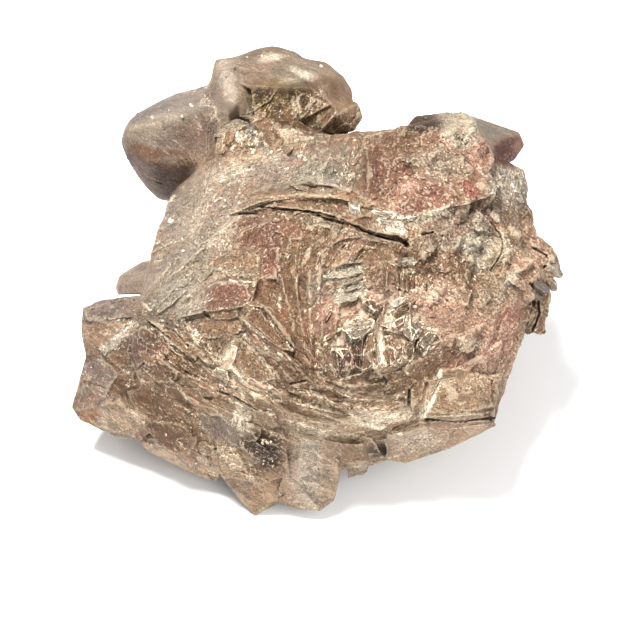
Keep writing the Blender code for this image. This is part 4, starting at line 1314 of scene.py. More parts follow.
@dataclass
class Cluster:
    """The whole cluster as closed skins with their fine relief."""

    flow: Flow = field(default_factory=Flow)
    texture: Texture = field(default_factory=Texture)
    leaves: tuple[ShardLayer, ...] = (
        ShardLayer(8.0, 3.2, 0.4, 11, 14.0, 0.12, 0.95, 0.7, 0.4),
        ShardLayer(3.8, 1.2, 0.14, 12, 18.0, 0.14, 0.6, 0.5, 0.4, True),
        ShardLayer(1.5, 0.42, 0.07, 13, 20.0, 0.2, 0.0, 0.3, 0.2),
    )
    grains: tuple[GrainLayer, ...] = (
        GrainLayer(3.6, 0.22, 21, 0.2, 0.0, 0.6, 0.4),
        GrainLayer(1.2, 0.1, 22, 0.5, 0.1, 0.25, 0.4),
        GrainLayer(0.6, 0.08, 23, 0.6, 0.5, 0.1, 0.2),
    )

    def build(self) -> list[Object]:
        """Makes the skins and adds them to the scene.

        Returns:
            The finished objects.
        """
        return [self.section(section) for section in SECTIONS]

    def section(self, section: Section) -> Object:
        """Makes one part of the cluster.

        Args:
            section: which part.

        Returns:
            The finished object.
        """
        mesh = self.fused(section)
        self.shatter(mesh, section)
        mesh = self.thinned(mesh, section)
        self.tint(mesh)
        return shown(section.name, mesh)

    def fused(self, section: Section) -> Mesh:
        """A copy of the solid inside a section, as an even closed skin.

        Args:
            section: the part to keep.

        Returns:
            The remeshed copy.
        """
        form = bmesh.new()
        form.from_mesh(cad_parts[NODE].data)
        bmesh.ops.remove_doubles(form, verts=form.verts, dist=1e-7)
        carrier = shown("solid_copy", meshed(form, "solid_copy"))
        box = section.box()
        cut = carrier.modifiers.new("cut", "BOOLEAN")
        cut.operation = "INTERSECT"
        cut.solver = "EXACT"
        cut.object = box
        remesh = carrier.modifiers.new("even", "REMESH")
        remesh.mode = "VOXEL"
        remesh.voxel_size = section.voxel * MM
        skin = settled(carrier, "skin")
        bpy.data.objects.remove(carrier)
        bpy.data.objects.remove(box)
        return self.rounded(skin, section)

    def rounded(self, mesh: Mesh, section: Section) -> Mesh:
        """The skin with the edges of its smooth crystals worn round.

        Args:
            mesh: the even skin.
            section: the part that it is.

        Returns:
            The worn skin.
        """
        local = FACE.local(positions(mesh))
        u, v = FACE.seen(local)
        worn = joined(self.texture.worn, u, v) * ramp(-8.6, -9.8, local[:, 2])
        smooth = np.maximum(worn, 0.2 * joined(self.texture.eased, u, v))
        smooth = np.maximum(smooth, 0.06 * joined(self.texture.smooth, u, v))
        smooth = np.maximum(smooth, 0.1 * joined(self.texture.soft, u, v) * ramp(-22, -18, local[:, 2]))
        smooth = np.maximum(smooth * ramp(0.2, 1.5, section.to_cut(local)),
                            0.06 * ramp(-20.0, -26.0, local[:, 2]))
        carrier = shown("even_skin", mesh)
        group = carrier.vertex_groups.new(name="worn")
        levels = (smooth * (WEAR_LEVELS + 0.999)).astype(int)
        for level in range(1, WEAR_LEVELS + 1):
            chosen = np.nonzero(levels == level)[0]
            group.add([int(i) for i in chosen], level / WEAR_LEVELS, "REPLACE")
        wear = carrier.modifiers.new("wear", "SMOOTH")
        wear.factor = 0.9
        wear.iterations = int(WEAR_REACH / section.voxel)
        wear.vertex_group = "worn"
        worn = settled(carrier, "worn_skin")
        bpy.data.objects.remove(carrier)
        return worn

    def shatter(self, mesh: Mesh, section: Section) -> None:
        """Breaks the skin into shards, facets, grains and seams, and marks each place.

        Args:
            mesh: the skin, which is changed in place.
            section: the part that it is.
        """
        skin = Skin(mesh, section, self.texture)
        skin.lay_facets()
        rise = skin.lay_shards(self.leaves, self.flow)
        side = skin.strew_grains(self.grains)
        skin.comb_grains()
        skin.local[:, 2] += rise + skin.stand
        skin.dust_lines()
        skin.open_rifts()
        skin.local += skin.outward * (side - skin.sunk)[:, None]
        skin.store(mesh)

    def thinned(self, mesh: Mesh, section: Section) -> Mesh:
        """The skin with fewer triangles, most of them kept where it is rough.

        Args:
            mesh: the full skin.
            section: the part that it is.

        Returns:
            The lighter mesh.
        """
        carrier = shown("full_skin", mesh)
        faces = sum(len(polygon.vertices) - 2 for polygon in mesh.polygons)
        thin = carrier.modifiers.new("thin", "DECIMATE")
        thin.ratio = min(1.0, section.triangles / faces)
        lighter = settled(carrier, section.name)
        bpy.data.objects.remove(carrier)
        lighter.set_sharp_from_angle(angle=SHARP)
        return lighter

    def tint(self, mesh: Mesh) -> None:
        """Writes the relief and colour masks that the finish reads.

        Args:
            mesh: the finished skin.
        """
        world = positions(mesh)
        outward = normals(mesh)
        near = smoothed(mesh, world, 3)
        wide = smoothed(mesh, near, 14)
        fine = ((world - near) * outward).sum(1) / MM
        broad = ((near - wide) * outward).sum(1) / MM
        one = np.ones_like(fine)
        fine, broad = np.clip(0.5 + fine * 5.0, 0, 1), np.clip(0.5 + broad * 1.5, 0, 1)
        write_marks(mesh, "relief", fine, broad, one, one)
        local = FACE.local(world)
        u, v = FACE.seen(local)
        front = ramp(-36.0, -28.0, local[:, 2]) * ramp(-0.35, 0.0, (outward @ FACE.axes().T)[:, 2])
        colour, metal, dust = region_colours(u, v, front)
        write_marks(mesh, "tint", *colour.T, one)
        powder = joined(self.texture.powdered, u, v) * front
        write_marks(mesh, "shine", metal, dust, powder, one)


# ---------------- single crystals


@dataclass(frozen=True)
class Crystal:
    """A crystal standing out of the face: corners (u, v, height over the face) in mm.

    A crystal with a depth of its own is set at that w, and not on the ground.
    """

    corners: tuple[tuple[float, float, float], ...]
    mineral: Ore | None = None
    rim: float = 0.6
    depth: float | None = None

    def middle(self) -> np.ndarray:
        """The middle of its corners."""
        return np.mean(np.array(self.corners), axis=0)

    def footprint(self) -> Facet:
        """The outline that it covers on the face."""
        corners = [(u, v) for u, v, _ in self.corners]
        ring = [corners[i] for i in convex_hull_2d([Vector(corner) for corner in corners])]
        return Facet(tuple(ring), CREAM, self.rim, 0.0, (0.0, 0.0))

    def bearing(self) -> float:
        """The direction of its longest reach, in radians."""
        spread = np.array(self.corners)[:, :2] - self.middle()[:2]
        _, _, axes = np.linalg.svd(spread, full_matrices=False)
        return math.atan2(axes[0, 1], axes[0, 0])


def ridge(
    start: tuple[float, float], end: tuple[float, float], width: float, height: float,
    mineral: Ore | None = None, rim: float = 0.5,
) -> Crystal:
    """A long blade with a sharp back from one place on the face to another.

    Args:
        start: where it begins.
        end: where it ends.
        width: its breadth.
        height: how far its back stands out.
        mineral: its own mineral, if it has one.
        rim: how much pale dust its edges carry.

    Returns:
        The blade.
    """
    along = Vector((end[0] - start[0], end[1] - start[1]))
    across = Vector((-along.y, along.x)).normalized() * (width / 2)
    table = ((0.0, 0.0, 0.1), (0.12, 0.8, 0.1), (0.88, 0.9, 0.1), (1.0, 0.0, 0.1),
             (0.84, -1.0, 0.1), (0.16, -0.9, 0.1), (0.1, 0.3, 0.6), (0.9, 0.25, 0.7))
    return Crystal(tuple(
        (start[0] + along.x * t + across.x * s, start[1] + along.y * t + across.y * s, height * h)
        for t, s, h in table
    ), mineral, rim)


def loose_blade(place: tuple[float, float], bearing: float, dice: random.Random) -> Crystal:
    """A small blade that lies along the flow.

    Args:
        place: its middle (u, v).
        bearing: its direction in radians.
        dice: the source of its sizes.

    Returns:
        The blade.
    """
    reach = dice.uniform(0.7, 2.0)
    step = (math.cos(bearing) * reach, math.sin(bearing) * reach)
    return ridge(
        (place[0] - step[0], place[1] - step[1]), (place[0] + step[0], place[1] + step[1]),
        dice.uniform(0.5, 1.3), dice.uniform(0.15, 0.55), None, dice.uniform(0.0, 0.6),
    )


def loose_grain(place: tuple[float, float], dice: random.Random) -> Crystal:
    """A small blunt grain.

    Args:
        place: its middle (u, v).
        dice: the source of its shape.

    Returns:
        The grain.
    """
    size = dice.choice((0.3, 0.35, 0.4, 0.5, 0.8)) * dice.uniform(0.8, 1.2)
    corners = []
    for index in range(6):
        turn = index * math.pi / 3 + dice.uniform(-0.4, 0.4)
        reach = size * dice.uniform(0.7, 1.1)
        corners.append((place[0] + reach * math.cos(turn), place[1] + reach * math.sin(turn),
                        size * dice.uniform(-0.1, 0.15)))
    for _ in range(2):
        corners.append((place[0] + size * dice.uniform(-0.4, 0.4),
                        place[1] + size * dice.uniform(-0.4, 0.4), size * dice.uniform(0.25, 0.55)))
    return Crystal(tuple(corners), None, dice.uniform(0.0, 0.3))


@dataclass
class Scatter:
    """Many small crystals strewn over the open parts of the face."""

    blades: int = 260
    grains: int = 520
    seed: int = 6
    texture: Texture = field(default_factory=Texture)
    flow: Flow = field(default_factory=Flow)

    def crystals(self) -> list[Crystal]:
        """The strewn crystals.

        Returns:
            Blades where the face is bladed, and grains where it is granular.
        """
        dice = random.Random(self.seed)
        spots = np.array([(dice.uniform(-44, 46), dice.uniform(-30, 38)) for _ in range(9000)])
        u, v = spots[:, 0], spots[:, 1]
        granular, smooth = self.texture.weights(u, v)
        bearing = self.flow.angle(u, v)
        clear = np.min([rift.gap(u, v) for rift in RIFTS], axis=0) > 1.6
        faceted = np.max([facet.inside(u, v) for facet in FACETS], axis=0) > -0.3
        middle = (np.abs(u - 11) < 13) & (np.abs(v + 1) < 11.5)
        fan = (np.abs(u + 4) < 5) & (np.abs(v - 5) < 11)
        blades, grains = [], []
        for i in range(len(u)):
            if smooth[i] > 0.15 or not clear[i]:
                continue
            if granular[i] > 0.5:
                if len(grains) < self.grains and not (faceted[i] and dice.random() < 0.7):
                    grains.append(loose_grain((u[i], v[i]), dice))
            elif len(blades) < self.blades and not (faceted[i] or middle[i] or fan[i]):
                turn = bearing[i] + math.radians(dice.gauss(0.0, 14.0))
                blades.append(loose_blade((u[i], v[i]), turn, dice))
        return blades + grains


MIDDLE_CRYSTALS: tuple[Crystal, ...] = (
    Crystal(((8.4, 3.5, 0.1), (9.8, 4.2, 0.2), (12.9, 2.9, 0.3), (12.5, 1.1, 0.1), (10.7, 0, 0),
        (9.4, 0.7, 0), (11, 2, 2), (10.2, 2.5, 1.7)), BRONZE, 0.9),
    Crystal(((14.1, 3.2, 0.3), (14.7, 2.5, 0.7), (15.4, 2.6, 1.1), (17.4, 4.4, 1.3), (17, 4.7, 0.9),
        (15.6, 4.4, 0.5)), SILVER, 0.8),
    Crystal(((13.9, 1.9, 0.2), (14.2, 0.5, 0.2), (15.6, 0.2, 0.2), (17.9, 1.8, 0.2), (17.9, 3.6, 0.7),
        (15.4, 2.4, 1.3)), BRONZE, 0.8),
    Crystal(((4.2, -1.8, 0.2), (5.2, -0.8, 0.1), (8, 0.3, 0), (10.8, -0.2, 0.1), (10.6, -1.2, 0.6),
        (8.6, -3.5, 1.6), (6.2, -3.7, 1.9), (5.2, -2.2, 1.5), (5.9, -6, 0)), ASH, 0.9),
    Crystal(((17.2, 0.6, 0.3), (18, 1.2, 0.4), (20.8, -1.2, 0.2), (20.4, -2, 0.5), (19.6, -3.6, 0.7),
        (18.4, -4.1, 0.7), (16.8, -3, 0.5), (16.6, -2, 0.8), (18, -1.2, 1.6), (19.2, -2.2, 1.5)), ASH, 0.7),
    Crystal(((14.2, -1.2, 0.1), (14.8, -0.3, 0.3), (16.8, 0.8, 0.4), (17, 1.2, 0.2), (16.8, -0.6, 0.8),
        (15, -1.6, 0.6)), ASH, 0.9),
    Crystal(((20, -3.8, 0.3), (21.6, -2.4, 0.4), (23.2, -2.6, 0.3), (23.9, -3.6, 0.2), (22.8, -5.4, 0.8),
        (21.4, -6, 1.2), (19.5, -4.6, 0.9), (19.3, -5.2, 0.4), (20.6, -7, 0.1), (21.2, -6.8, 0.1)), ASH,
        0.8),
    Crystal(((3.3, -6.2, 0.4), (4, -5.7, 0.5), (5.9, -5.8, 0.5), (6.3, -8.4, 0.5), (6, -10.6, 0.4),
        (5.2, -11.2, 0.3), (4.2, -11, 0.3), (3.5, -8.8, 0.4), (4.6, -7.5, 1.3), (5, -9.6, 1.2)), BRICK,
        0.8),
    Crystal(((6.2, -3.9, 0.5), (8.6, -3.8, 0.8), (8.4, -7, 1.1), (7.9, -9.8, 0.4), (7.1, -9.2, 0.3),
        (6.4, -7, 0.6)), BRICK, 0.8),
    Crystal(((8.8, -3.8, 0.7), (9.8, -2.8, 0.8), (11, -2.4, 0.3), (11.1, -5.6, 0.5), (10.7, -8.6, 0.4),
        (9.8, -9.6, 0.2), (8.3, -10.2, 0.2), (8.6, -7, 1.3)), BRONZE, 0.8),
    Crystal(((12.9, -3.2, 0.3), (14.2, -3, 0.6), (14.9, -5.8, 0.8), (15.2, -8, 0.3), (14.2, -9, 0.2),
        (12.9, -7.2, 0.2), (13.6, -5.2, 1.2)), BRONZE, 0.8),
    Crystal(((15.1, -5.8, 0.3), (16.5, -5.2, 0.7), (16.7, -6.8, 0.6), (16.2, -8.8, 0.2), (15.4, -8.4, 0.2)),
        BRONZE, 0.8),
    Crystal(((16.8, -4.2, 0.4), (18.4, -4.3, 0.6), (18.9, -5.6, 0.5), (18.6, -8, 0.2), (17.2, -8.4, 0.2),
        (16.8, -6.2, 0.9)), UMBER, 0.7),
    Crystal(((12, -0.9, 0.2), (14.2, -1.7, 0.4), (14.4, -2.8, 0.7), (12.6, -2.5, 0.6)), TAN, 0.8),
    Crystal(((0.4, 9, 0), (2.6, 9.6, 0), (7.6, 10.8, 0), (8.8, 10.4, 0), (8.6, 9.4, 0.25), (4.8, 8.2, 0.2),
        (1.2, 8.2, 0.1)), MOSS, 0.6),
    Crystal(((3.6, 6, 0), (6.2, 6.9, 0), (8.4, 7.9, 0), (9, 7.4, 0), (7.8, 6.2, 0.25), (5, 5.4, 0.2)), MOSS,
        0.6),
    Crystal(((2.6, 4.4, 0), (4.4, 5.2, 0), (7.8, 5.6, 0), (8.2, 5, 0), (7, 3.8, 0.25), (4, 3.2, 0.2),
        (2.8, 3.4, 0.1)), MOSS, 0.5),
    Crystal(((13.4, 11.6, 0), (16, 12.4, 0), (18.6, 12.6, 0), (19.3, 11.6, 0), (18.8, 10.8, 0.2),
        (15, 10.8, 0.25)), MOSS, 0.5),
    ridge((15.3, 10), (15.6, 6), 1.1, 0.35, BRONZE),
    ridge((16.6, 10), (16.6, 5.6), 1, 0.35, TAN),
    ridge((17.6, 10.2), (17.4, 5.4), 0.9, 0.35, BRONZE),
    ridge((18.8, 10.2), (18.6, 5.2), 1, 0.35, UMBER),
    ridge((20, 9.4), (19.6, 5), 0.9, 0.35, BRONZE),
    ridge((20.9, 8), (21.2, 5.6), 1, 0.35, UMBER),
    ridge((21.9, 8.2), (22.6, 5.8), 0.9, 0.35, BRONZE),
)

FAN_BLADES: tuple[Crystal, ...] = (
    Crystal(((-16.5, -5.4, 0.9), (-17.7, -4.9, 0.3), (-20.9, -9.4, 0.2), (-20, -10.4, 0.3),
        (-18, -9.8, 0.8), (-16.9, -7.4, 0.9)), CREAM, 0.9),
    Crystal(((-20.8, -9.6, 0.4), (-22, -11, 0.2), (-18.8, -13.2, 0.2), (-18.2, -12, 0.6),
        (-18.6, -10.2, 0.7)), PEARL, 0.8),
    ridge((-8, 13.6), (-8.5, 7.4), 1.3, 0.3, TAN, 0.2),
    ridge((-4.4, 15.6), (-5.4, 8.2), 1.5, 0.4, TAN, 0.2),
    ridge((-1.6, 15.4), (-2.8, 9.4), 1.1, 0.4, BRONZE, 0.3),
    ridge((0, 13.8), (-0.8, 9.8), 0.9, 0.4, SAND, 0.6),
    ridge((-3.6, 1.6), (-2.4, -5), 1.3, 0.35, BRICK, 0.2),
    ridge((-1.8, -2.8), (-1.6, -9.8), 1.6, 0.6, UMBER, 0.3),
    ridge((-0.4, -5.8), (-1, -9.8), 0.8, 0.6, ROSE, 0.9),
    ridge((1.2, -4.2), (1.2, -9.6), 1.2, 0.6, TAN),
    ridge((2.4, -5.4), (3.2, -10.4), 1, 0.6, TAN, 0.9),
    ridge((2.4, 2), (0.8, -0.6), 1, 0.6, BRICK),
    ridge((4.4, -1.6), (0.6, -4.2), 1.2, 0.6, TAN, 0.8),
)


@dataclass(frozen=True)
class Clump:
    """A patch of blunt little crystals of a few minerals, with sizes in mm."""

    spot: Spot
    count: int
    size: tuple[float, float]
    minerals: tuple[Ore, ...]
    bearing: float | None = None
    stretch: float = 1.5
    rise: float = 0.6
    rim: float = 0.3

    def crystals(self, dice: random.Random) -> list[Crystal]:
        """The clump's crystals.

        Args:
            dice: the source of their places and shapes.

        Returns:
            One crystal for each of the count.
        """
        made = []
        turn = math.radians(self.spot.turn)
        for _ in range(self.count):
            far, way = math.sqrt(dice.random()), dice.uniform(0.0, 2.0 * math.pi)
            du, dv = far * math.cos(way) * self.spot.across, far * math.sin(way) * self.spot.up
            u = self.spot.u + du * math.cos(turn) - dv * math.sin(turn)
            v = self.spot.v + du * math.sin(turn) + dv * math.cos(turn)
            reach = dice.uniform(*self.size)
            bearing = dice.uniform(0, 180) if self.bearing is None else dice.gauss(self.bearing, 16)
            made.append(self.one(u, v, reach, math.radians(bearing), dice))
        return made

    def one(self, u: float, v: float, reach: float, bearing: float, dice: random.Random) -> Crystal:
        """One blunt crystal.

        Args:
            u: its place along the face.
            v: its place up the face.
            reach: half its length.
            bearing: the direction of its length in radians.
            dice: the source of its shape.

        Returns:
            The crystal.
        """
        corners = []
        for share, low, high, ring in ((1.0, -0.1, 0.2, 6), (0.55, 0.6, 1.0, 3)):
            start = dice.uniform(0.0, 1.0)
            for index in range(ring):
                way = 2.0 * math.pi * (index + start + dice.uniform(-0.25, 0.25)) / ring
                along = math.cos(way) * reach * share
                over = math.sin(way) * reach * share / self.stretch
                corners.append((
                    u + along * math.cos(bearing) - over * math.sin(bearing),
                    v + along * math.sin(bearing) + over * math.cos(bearing),
                    reach * self.rise * dice.uniform(low, high),
                ))
        return Crystal(tuple(corners), dice.choice(self.minerals), self.rim)


CLUMPS: tuple[Clump, ...] = (
    # the olive hollow and the pale facets under it
    Clump(Spot(-11, 41.6, 2, 1.6), 5, (0.5, 1), (OLIVE, SAND), 80, 1.6, 0.3, 0.3),
    Clump(Spot(-8, 35.4, 5.6, 1, -10), 5, (1, 1.8), (SAND, CREAM), 58, 1.8, 0.3, 0.4),
    # bright little crystals beside the thumb
    Clump(Spot(-15, 35.4, 3.2, 2.2, 10), 15, (0.5, 1.1), (CHALK, PEARL, SAND, SILVER), 70, 1.4, 0.9, 0.5),
    Clump(Spot(-19, 36, 2.2, 2.2, 40), 5, (1, 1.8), (BRONZE, SAND), 60, 1.6, 0.7, 0.2),
    # dark hollow with its crumbs, and the pale pieces beside it
    Clump(Spot(-11.6, -24.2, 2.2, 1.2, -30), 9, (0.2, 0.5), (CREAM, PEARL), None, 1.6, 0.6, 0.6),
    Clump(Spot(-10.4, -28.6, 2.2, 1, -30), 5, (0.2, 0.45), (CREAM, SAND), None, 1.6, 0.6, 0.6),
    Clump(Spot(-15.6, -20.2, 1.5, 2.2, 20), 5, (0.6, 1.3), (PEARL, CHALK), 70),
    Clump(Spot(-20, -28, 8, 1.8, -24), 14, (0.9, 2), (SAND, CREAM, TAN), -28, 1.8, 0.25, 0.3),
    Clump(Spot(-33.2, -7.2, 2.2, 1.3, -40), 5, (0.5, 1.1), (TAN, SAND), -40, 1.8),
    # plates at the right rim
    Clump(Spot(45.2, 8.6, 1.8, 6.4, -14), 7, (1.2, 2.3), (PEARL, SAND, LILAC), -58, 1.8, 0.5, 0.2),
    # crusts of pale dust, and glitter of chalk and silver grains as painted highlights
    Clump(Spot(-13, -12.6, 4.8, 1.8, -38), 20, (0.25, 0.7), (CHALK, CREAM)),
    Clump(Spot(4, 29.4, 6, 1.8, -6), 26, (0.2, 0.5), (CHALK, SILVER), None, 1.3, 0.9),
    Clump(Spot(12, -1, 9, 7), 34, (0.2, 0.6), (CHALK, CREAM)),
    Clump(Spot(-40, -3, 4.4, 2.6, 35), 16, (0.3, 0.9), (SILVER, PEARL), 45, 2.2),
    Clump(Spot(-29, 3.4, 5, 4, 40), 22, (0.3, 0.9), (SILVER, PEARL), 45, 2.2, 0.4),
    Clump(Spot(-24, 16, 4, 10, -30), 24, (0.2, 0.5), (CHALK, PEARL), None, 1.3, 0.8),
    Clump(Spot(38.4, 26, 3, 5), 24, (0.3, 0.8), (SILVER, PEARL, LILAC)),
    Clump(Spot(-26, -24, 8, 5, -28), 16, (0.2, 0.5), (PEARL, SAND)),
)


REAR_CRYSTALS: tuple[Crystal, ...] = (
    # dark crystals deep in the gaps between the crystals behind the rim, as painted shade in the gaps
    Crystal(((-20, 42.6, 0), (-12.6, 42.8, 0), (-11.8, 38, 0), (-19.6, 38, 0), (-16, 40.4, 0.6)), INK, 0,
        -18.4),
    Crystal(((-2.4, 39, 0), (5.4, 38.6, 0), (6, 35.4, 0), (-2.4, 35, 0), (1.6, 37, 0.6)), INK, 0, -19),
    # crystals that lean against the body beside the thumb
    Crystal(((-21.4, 36.6, 0), (-20.4, 38.6, 0.2), (-17.2, 40, 0.4), (-14.8, 39, 0.2), (-16.6, 37.6, 1),
        (-19.6, 36.6, 0.9)), ASH, 0.4),
    # pale layered block over the wide end of the crack
    ridge((10.2, 21.8), (15.4, 20.8), 1.5, 0.9, CHALK, 0.9),
    ridge((11.2, 20), (16.8, 19.2), 1.4, 1, CHALK, 0.9),
    ridge((13, 18.2), (17.2, 17.4), 1.2, 0.8, CHALK, 0.9),
    Crystal(((5.6, 23.6, 0.2), (8, 23.8, 0.3), (8.4, 20.4, 0.2), (6.2, 19.8, 0.2), (6.4, 22.6, 1),
        (7.8, 22.2, 0.9)), PEARL, 0.6),
)

# painted glints on the worn crystals, as tiny chalk-white grains: (u, v, half size)
PAINTED_GLINTS: tuple[tuple[float, float, float], ...] = (
    (-33.6, 40.6, 0.5), (-30.2, 42, 0.3), (-27.6, 40.8, 0.35), (-25.8, 43, 0.55), (-14.6, 52.6, 0.4),
    (-11.6, 52.8, 0.35), (0.2, 50.8, 0.45),
    (-17.2, 34.8, 0.5), (-13.8, 34.2, 0.45), (-16.4, 36.6, 0.4), (-12.6, 35.6, 0.3),
)


class Ground:
    """The solid's surface as it is seen from the eye in front of the face."""

    def __init__(self) -> None:
        """Reads the solid once into the face's own axes."""
        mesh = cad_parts[NODE].data
        self.tree = BVHTree.FromPolygons(
            [tuple(point) for point in FACE.local(positions(mesh))],
            [tuple(polygon.vertices) for polygon in mesh.polygons],
        )

    def height(self, u: float, v: float) -> float | None:
        """How far out the surface lies where (u, v) is seen, or None off the solid.

        Args:
            u, v: the place on the face.

        Returns:
            The height w in mm, or None.
        """
        eye = Vector((0.0, 0.0, FACE.eye))
        hit = self.tree.ray_cast(eye, (Vector((u, v, 0.0)) - eye).normalized())[0]
        return None if hit is None else hit.z


class CrystalBed:
    """Crystals set into the face, joined in one mesh with their own marks."""

    def __init__(self, name: str, ground: Ground, seed: int, surefoot: float = 0.0) -> None:
        """Starts an empty bed.

        Args:
            name: the finished object's name.
            ground: what the crystals stand on.
            seed: the seed of their tones.
            surefoot: the share of a crystal's corners that must have ground under them.
        """
        self.surefoot = surefoot
        self.name = name
        self.ground = ground
        self.dice = random.Random(seed)
        self.form = bmesh.new()
        self.marks = {
            key: self.form.verts.layers.float.new(key)
            for key in ("rim", "dusty", "tone", "bearing", "red", "green", "blue", "metal")
        }

    def seated(self, crystal: Crystal) -> list[Vector] | None:
        """The crystal's corners in the face's frame, on a plane through the ground there.

        Args:
            crystal: the crystal.

        Returns:
            Corners (u, v, w) in mm, or None where there is no ground.
        """
        corners = np.array(crystal.corners)
        if crystal.depth is not None:
            near = (FACE.eye - crystal.depth) / FACE.eye
            return [Vector((u * near, v * near, crystal.depth + h)) for u, v, h in corners]
        middle = crystal.middle()
        reads = [(u, v, self.ground.height(u, v)) for u, v, _ in corners]
        reads.append((middle[0], middle[1], self.ground.height(middle[0], middle[1])))
        landed = [read for read in reads if read[2] is not None]
        if len(landed) < max(4, self.surefoot * len(reads)):
            return None
        reads = np.array(landed)
        terms = np.column_stack((reads[:, 0] - middle[0], reads[:, 1] - middle[1],
                                 np.ones(len(reads))))
        fit = np.linalg.lstsq(terms, reads[:, 2], rcond=None)[0]
        if self.surefoot and math.hypot(fit[0], fit[1]) > 0.9:
            return None
        over = max(0.0, float(np.percentile(reads[:, 2] - terms @ fit, 70)))
        placed = []
        for u, v, height in corners:
            w = fit[0] * (u - middle[0]) + fit[1] * (v - middle[1]) + fit[2] + 0.6 * over + height
            near = (FACE.eye - w) / FACE.eye
            placed.append(Vector((u * near, v * near, w)))
        return placed

    def add(self, crystal: Crystal, bevel: float = 0.09, band: float = 0.22) -> None:
        """Builds one crystal and joins it to the bed, with painted light and shade on its broad faces.

        Args:
            crystal: the crystal.
            bevel: the width of its worn edges in mm.
            band: the width of the dusty band inside its edges in mm.
        """
        placed = self.seated(crystal)
        if placed is None:
            return
        form = self.hull(placed, bevel)
        marks = {key: form.verts.layers.float.new(key) for key in self.marks}
        broad = [face for face in form.faces if face.calc_area() > 0.3 and face.normal.z > 0.1]
        edge_points = set(form.verts)
        bmesh.ops.inset_individual(form, faces=broad, thickness=band, use_even_offset=True)
        bmesh.ops.recalc_face_normals(form, faces=form.faces)
        # painted light and shade: each broad face's colour is made lighter the more it faces the painted
        # light's direction, and darker where it faces away
        painted_face_light = {}
        for face in broad:
            lit = max(0.0, face.normal.dot(PAINTED_LIGHT_FROM))
            painted_light_level = 0.6 + 0.68 * lit ** 1.5 + self.dice.uniform(-0.08, 0.08)
            painted_face_light.update((vert, painted_light_level) for vert in face.verts)
        mineral = crystal.mineral
        colour = linear(mineral.colour) if mineral else (-1.0, -1.0, -1.0)
        shade = self.dice.uniform(0.25, 0.85)
        bearing = crystal.bearing()
        for vert in form.verts:
            vert[marks["rim"]] = 1.0 if vert in edge_points else 0.0
            vert[marks["dusty"]] = crystal.rim
            vert[marks["tone"]] = shade
            vert[marks["bearing"]] = bearing
            vert[marks["metal"]] = mineral.metal if mineral else 0.0
            for key, share in zip(("red", "green", "blue"), colour):
                vert[marks[key]] = share * (painted_face_light.get(vert, 1.0) if mineral else 1.0)
        mesh = meshed(form, "crystal")
        self.form.from_mesh(mesh)
        bpy.data.meshes.remove(mesh)

    def hull(self, placed: list[Vector], bevel: float) -> bmesh.types.BMesh:
        """A closed crystal that reaches from its corners down into the ground.

        Args:
            placed: its corners (u, v, w) in mm.
            bevel: the width of its worn edges in mm.

        Returns:
            Its form.
        """
        form = bmesh.new()
        middle = sum(placed, Vector()) / len(placed)
        points = placed + [
            Vector((middle.x + (p.x - middle.x) * 0.9, middle.y + (p.y - middle.y) * 0.9, p.z - ROOT))
            for p in placed
        ]
        for point in points:
            form.verts.new(point)
        made = bmesh.ops.convex_hull(form, input=form.verts)
        spare = {item for key in ("geom_interior", "geom_unused") for item in made[key]}
        bmesh.ops.delete(
            form, geom=[v for v in spare if isinstance(v, bmesh.types.BMVert)], context="VERTS"
        )
        bmesh.ops.dissolve_limit(
            form, angle_limit=math.radians(7.0), verts=form.verts, edges=form.edges
        )
        bmesh.ops.bevel(
            form, geom=form.edges[:], offset=bevel, affect="EDGES", segments=1, profile=0.5,
            material=-1, clamp_overlap=True,
        )
        return form

    def finish(self) -> Object:
        """Makes the joined mesh an object with the marks that the finish reads.

        Returns:
            The finished object.
        """
        mesh = meshed(self.form, self.name)
        marks = {}
        for key in self.marks:
            flat = np.empty(len(mesh.vertices), dtype=np.float32)
            mesh.attributes[key].data.foreach_get("value", flat)
            marks[key] = flat.astype(float)
            mesh.attributes.remove(mesh.attributes[key])
        local = positions(mesh)
        u, v = FACE.seen(local)
        world = FACE.world(local)
        world[:, 2] = np.maximum(world[:, 2], 0.0)
        place(mesh, world)
        turn = marks["bearing"]
        along, over = u * np.cos(turn) + v * np.sin(turn), v * np.cos(turn) - u * np.sin(turn)
        write_marks(mesh, "grain", along, over, marks["tone"] * TONE_APART)
        one = np.ones_like(u)
        write_marks(mesh, "breaks", marks["rim"] * marks["dusty"], marks["tone"], 0 * one, 0 * one)
        write_marks(mesh, "relief", 0.5 * one + 0.04 * marks["rim"], 0.5 * one, one, one)
        colour, metal, dust = region_colours(u, v, one)
        # a crystal's own colours carry the painted light and shade of its broad faces
        own = marks["red"] >= 0.0
        stored = np.stack((marks["red"], marks["green"], marks["blue"]), axis=1)
        colour = np.where(own[:, None], stored, colour)
        metal = np.where(own, marks["metal"], metal)
        write_marks(mesh, "tint", *colour.T, one)
        powder = joined(Texture().powdered, u, v)
        write_marks(mesh, "shine", metal, dust * ~own, powder, one)
        return shown(self.name, mesh)


# ---------------- finish


class Term:
    """A shader value that takes part in plain arithmetic."""

    def __init__(self, paint: "Paint", socket: bpy.types.NodeSocket) -> None:
        """Wraps an output socket of the paint's nodes."""
        self.paint = paint
        self.socket = socket

    def worked(self, operation: str, *values: "Term | float") -> "Term":
        """The result of a Math node on the values."""
        inputs = dict(enumerate(values))
        return self.paint.node("ShaderNodeMath", {"operation": operation}, inputs).out()

    def __add__(self, other: "Term | float") -> "Term":
        """Self plus other."""
        return self.worked("ADD", self, other)

    def __radd__(self, other: float) -> "Term":
        """Other plus self."""
        return self.worked("ADD", other, self)

    def __sub__(self, other: "Term | float") -> "Term":
        """Self minus other."""
        return self.worked("SUBTRACT", self, other)

    def __rsub__(self, other: float) -> "Term":
        """Other minus self."""
        return self.worked("SUBTRACT", other, self)

    def __mul__(self, other: "Term | float") -> "Term":
        """Self times other."""
        return self.worked("MULTIPLY", self, other)

    def __rmul__(self, other: float) -> "Term":
        """Other times self."""
        return self.worked("MULTIPLY", other, self)


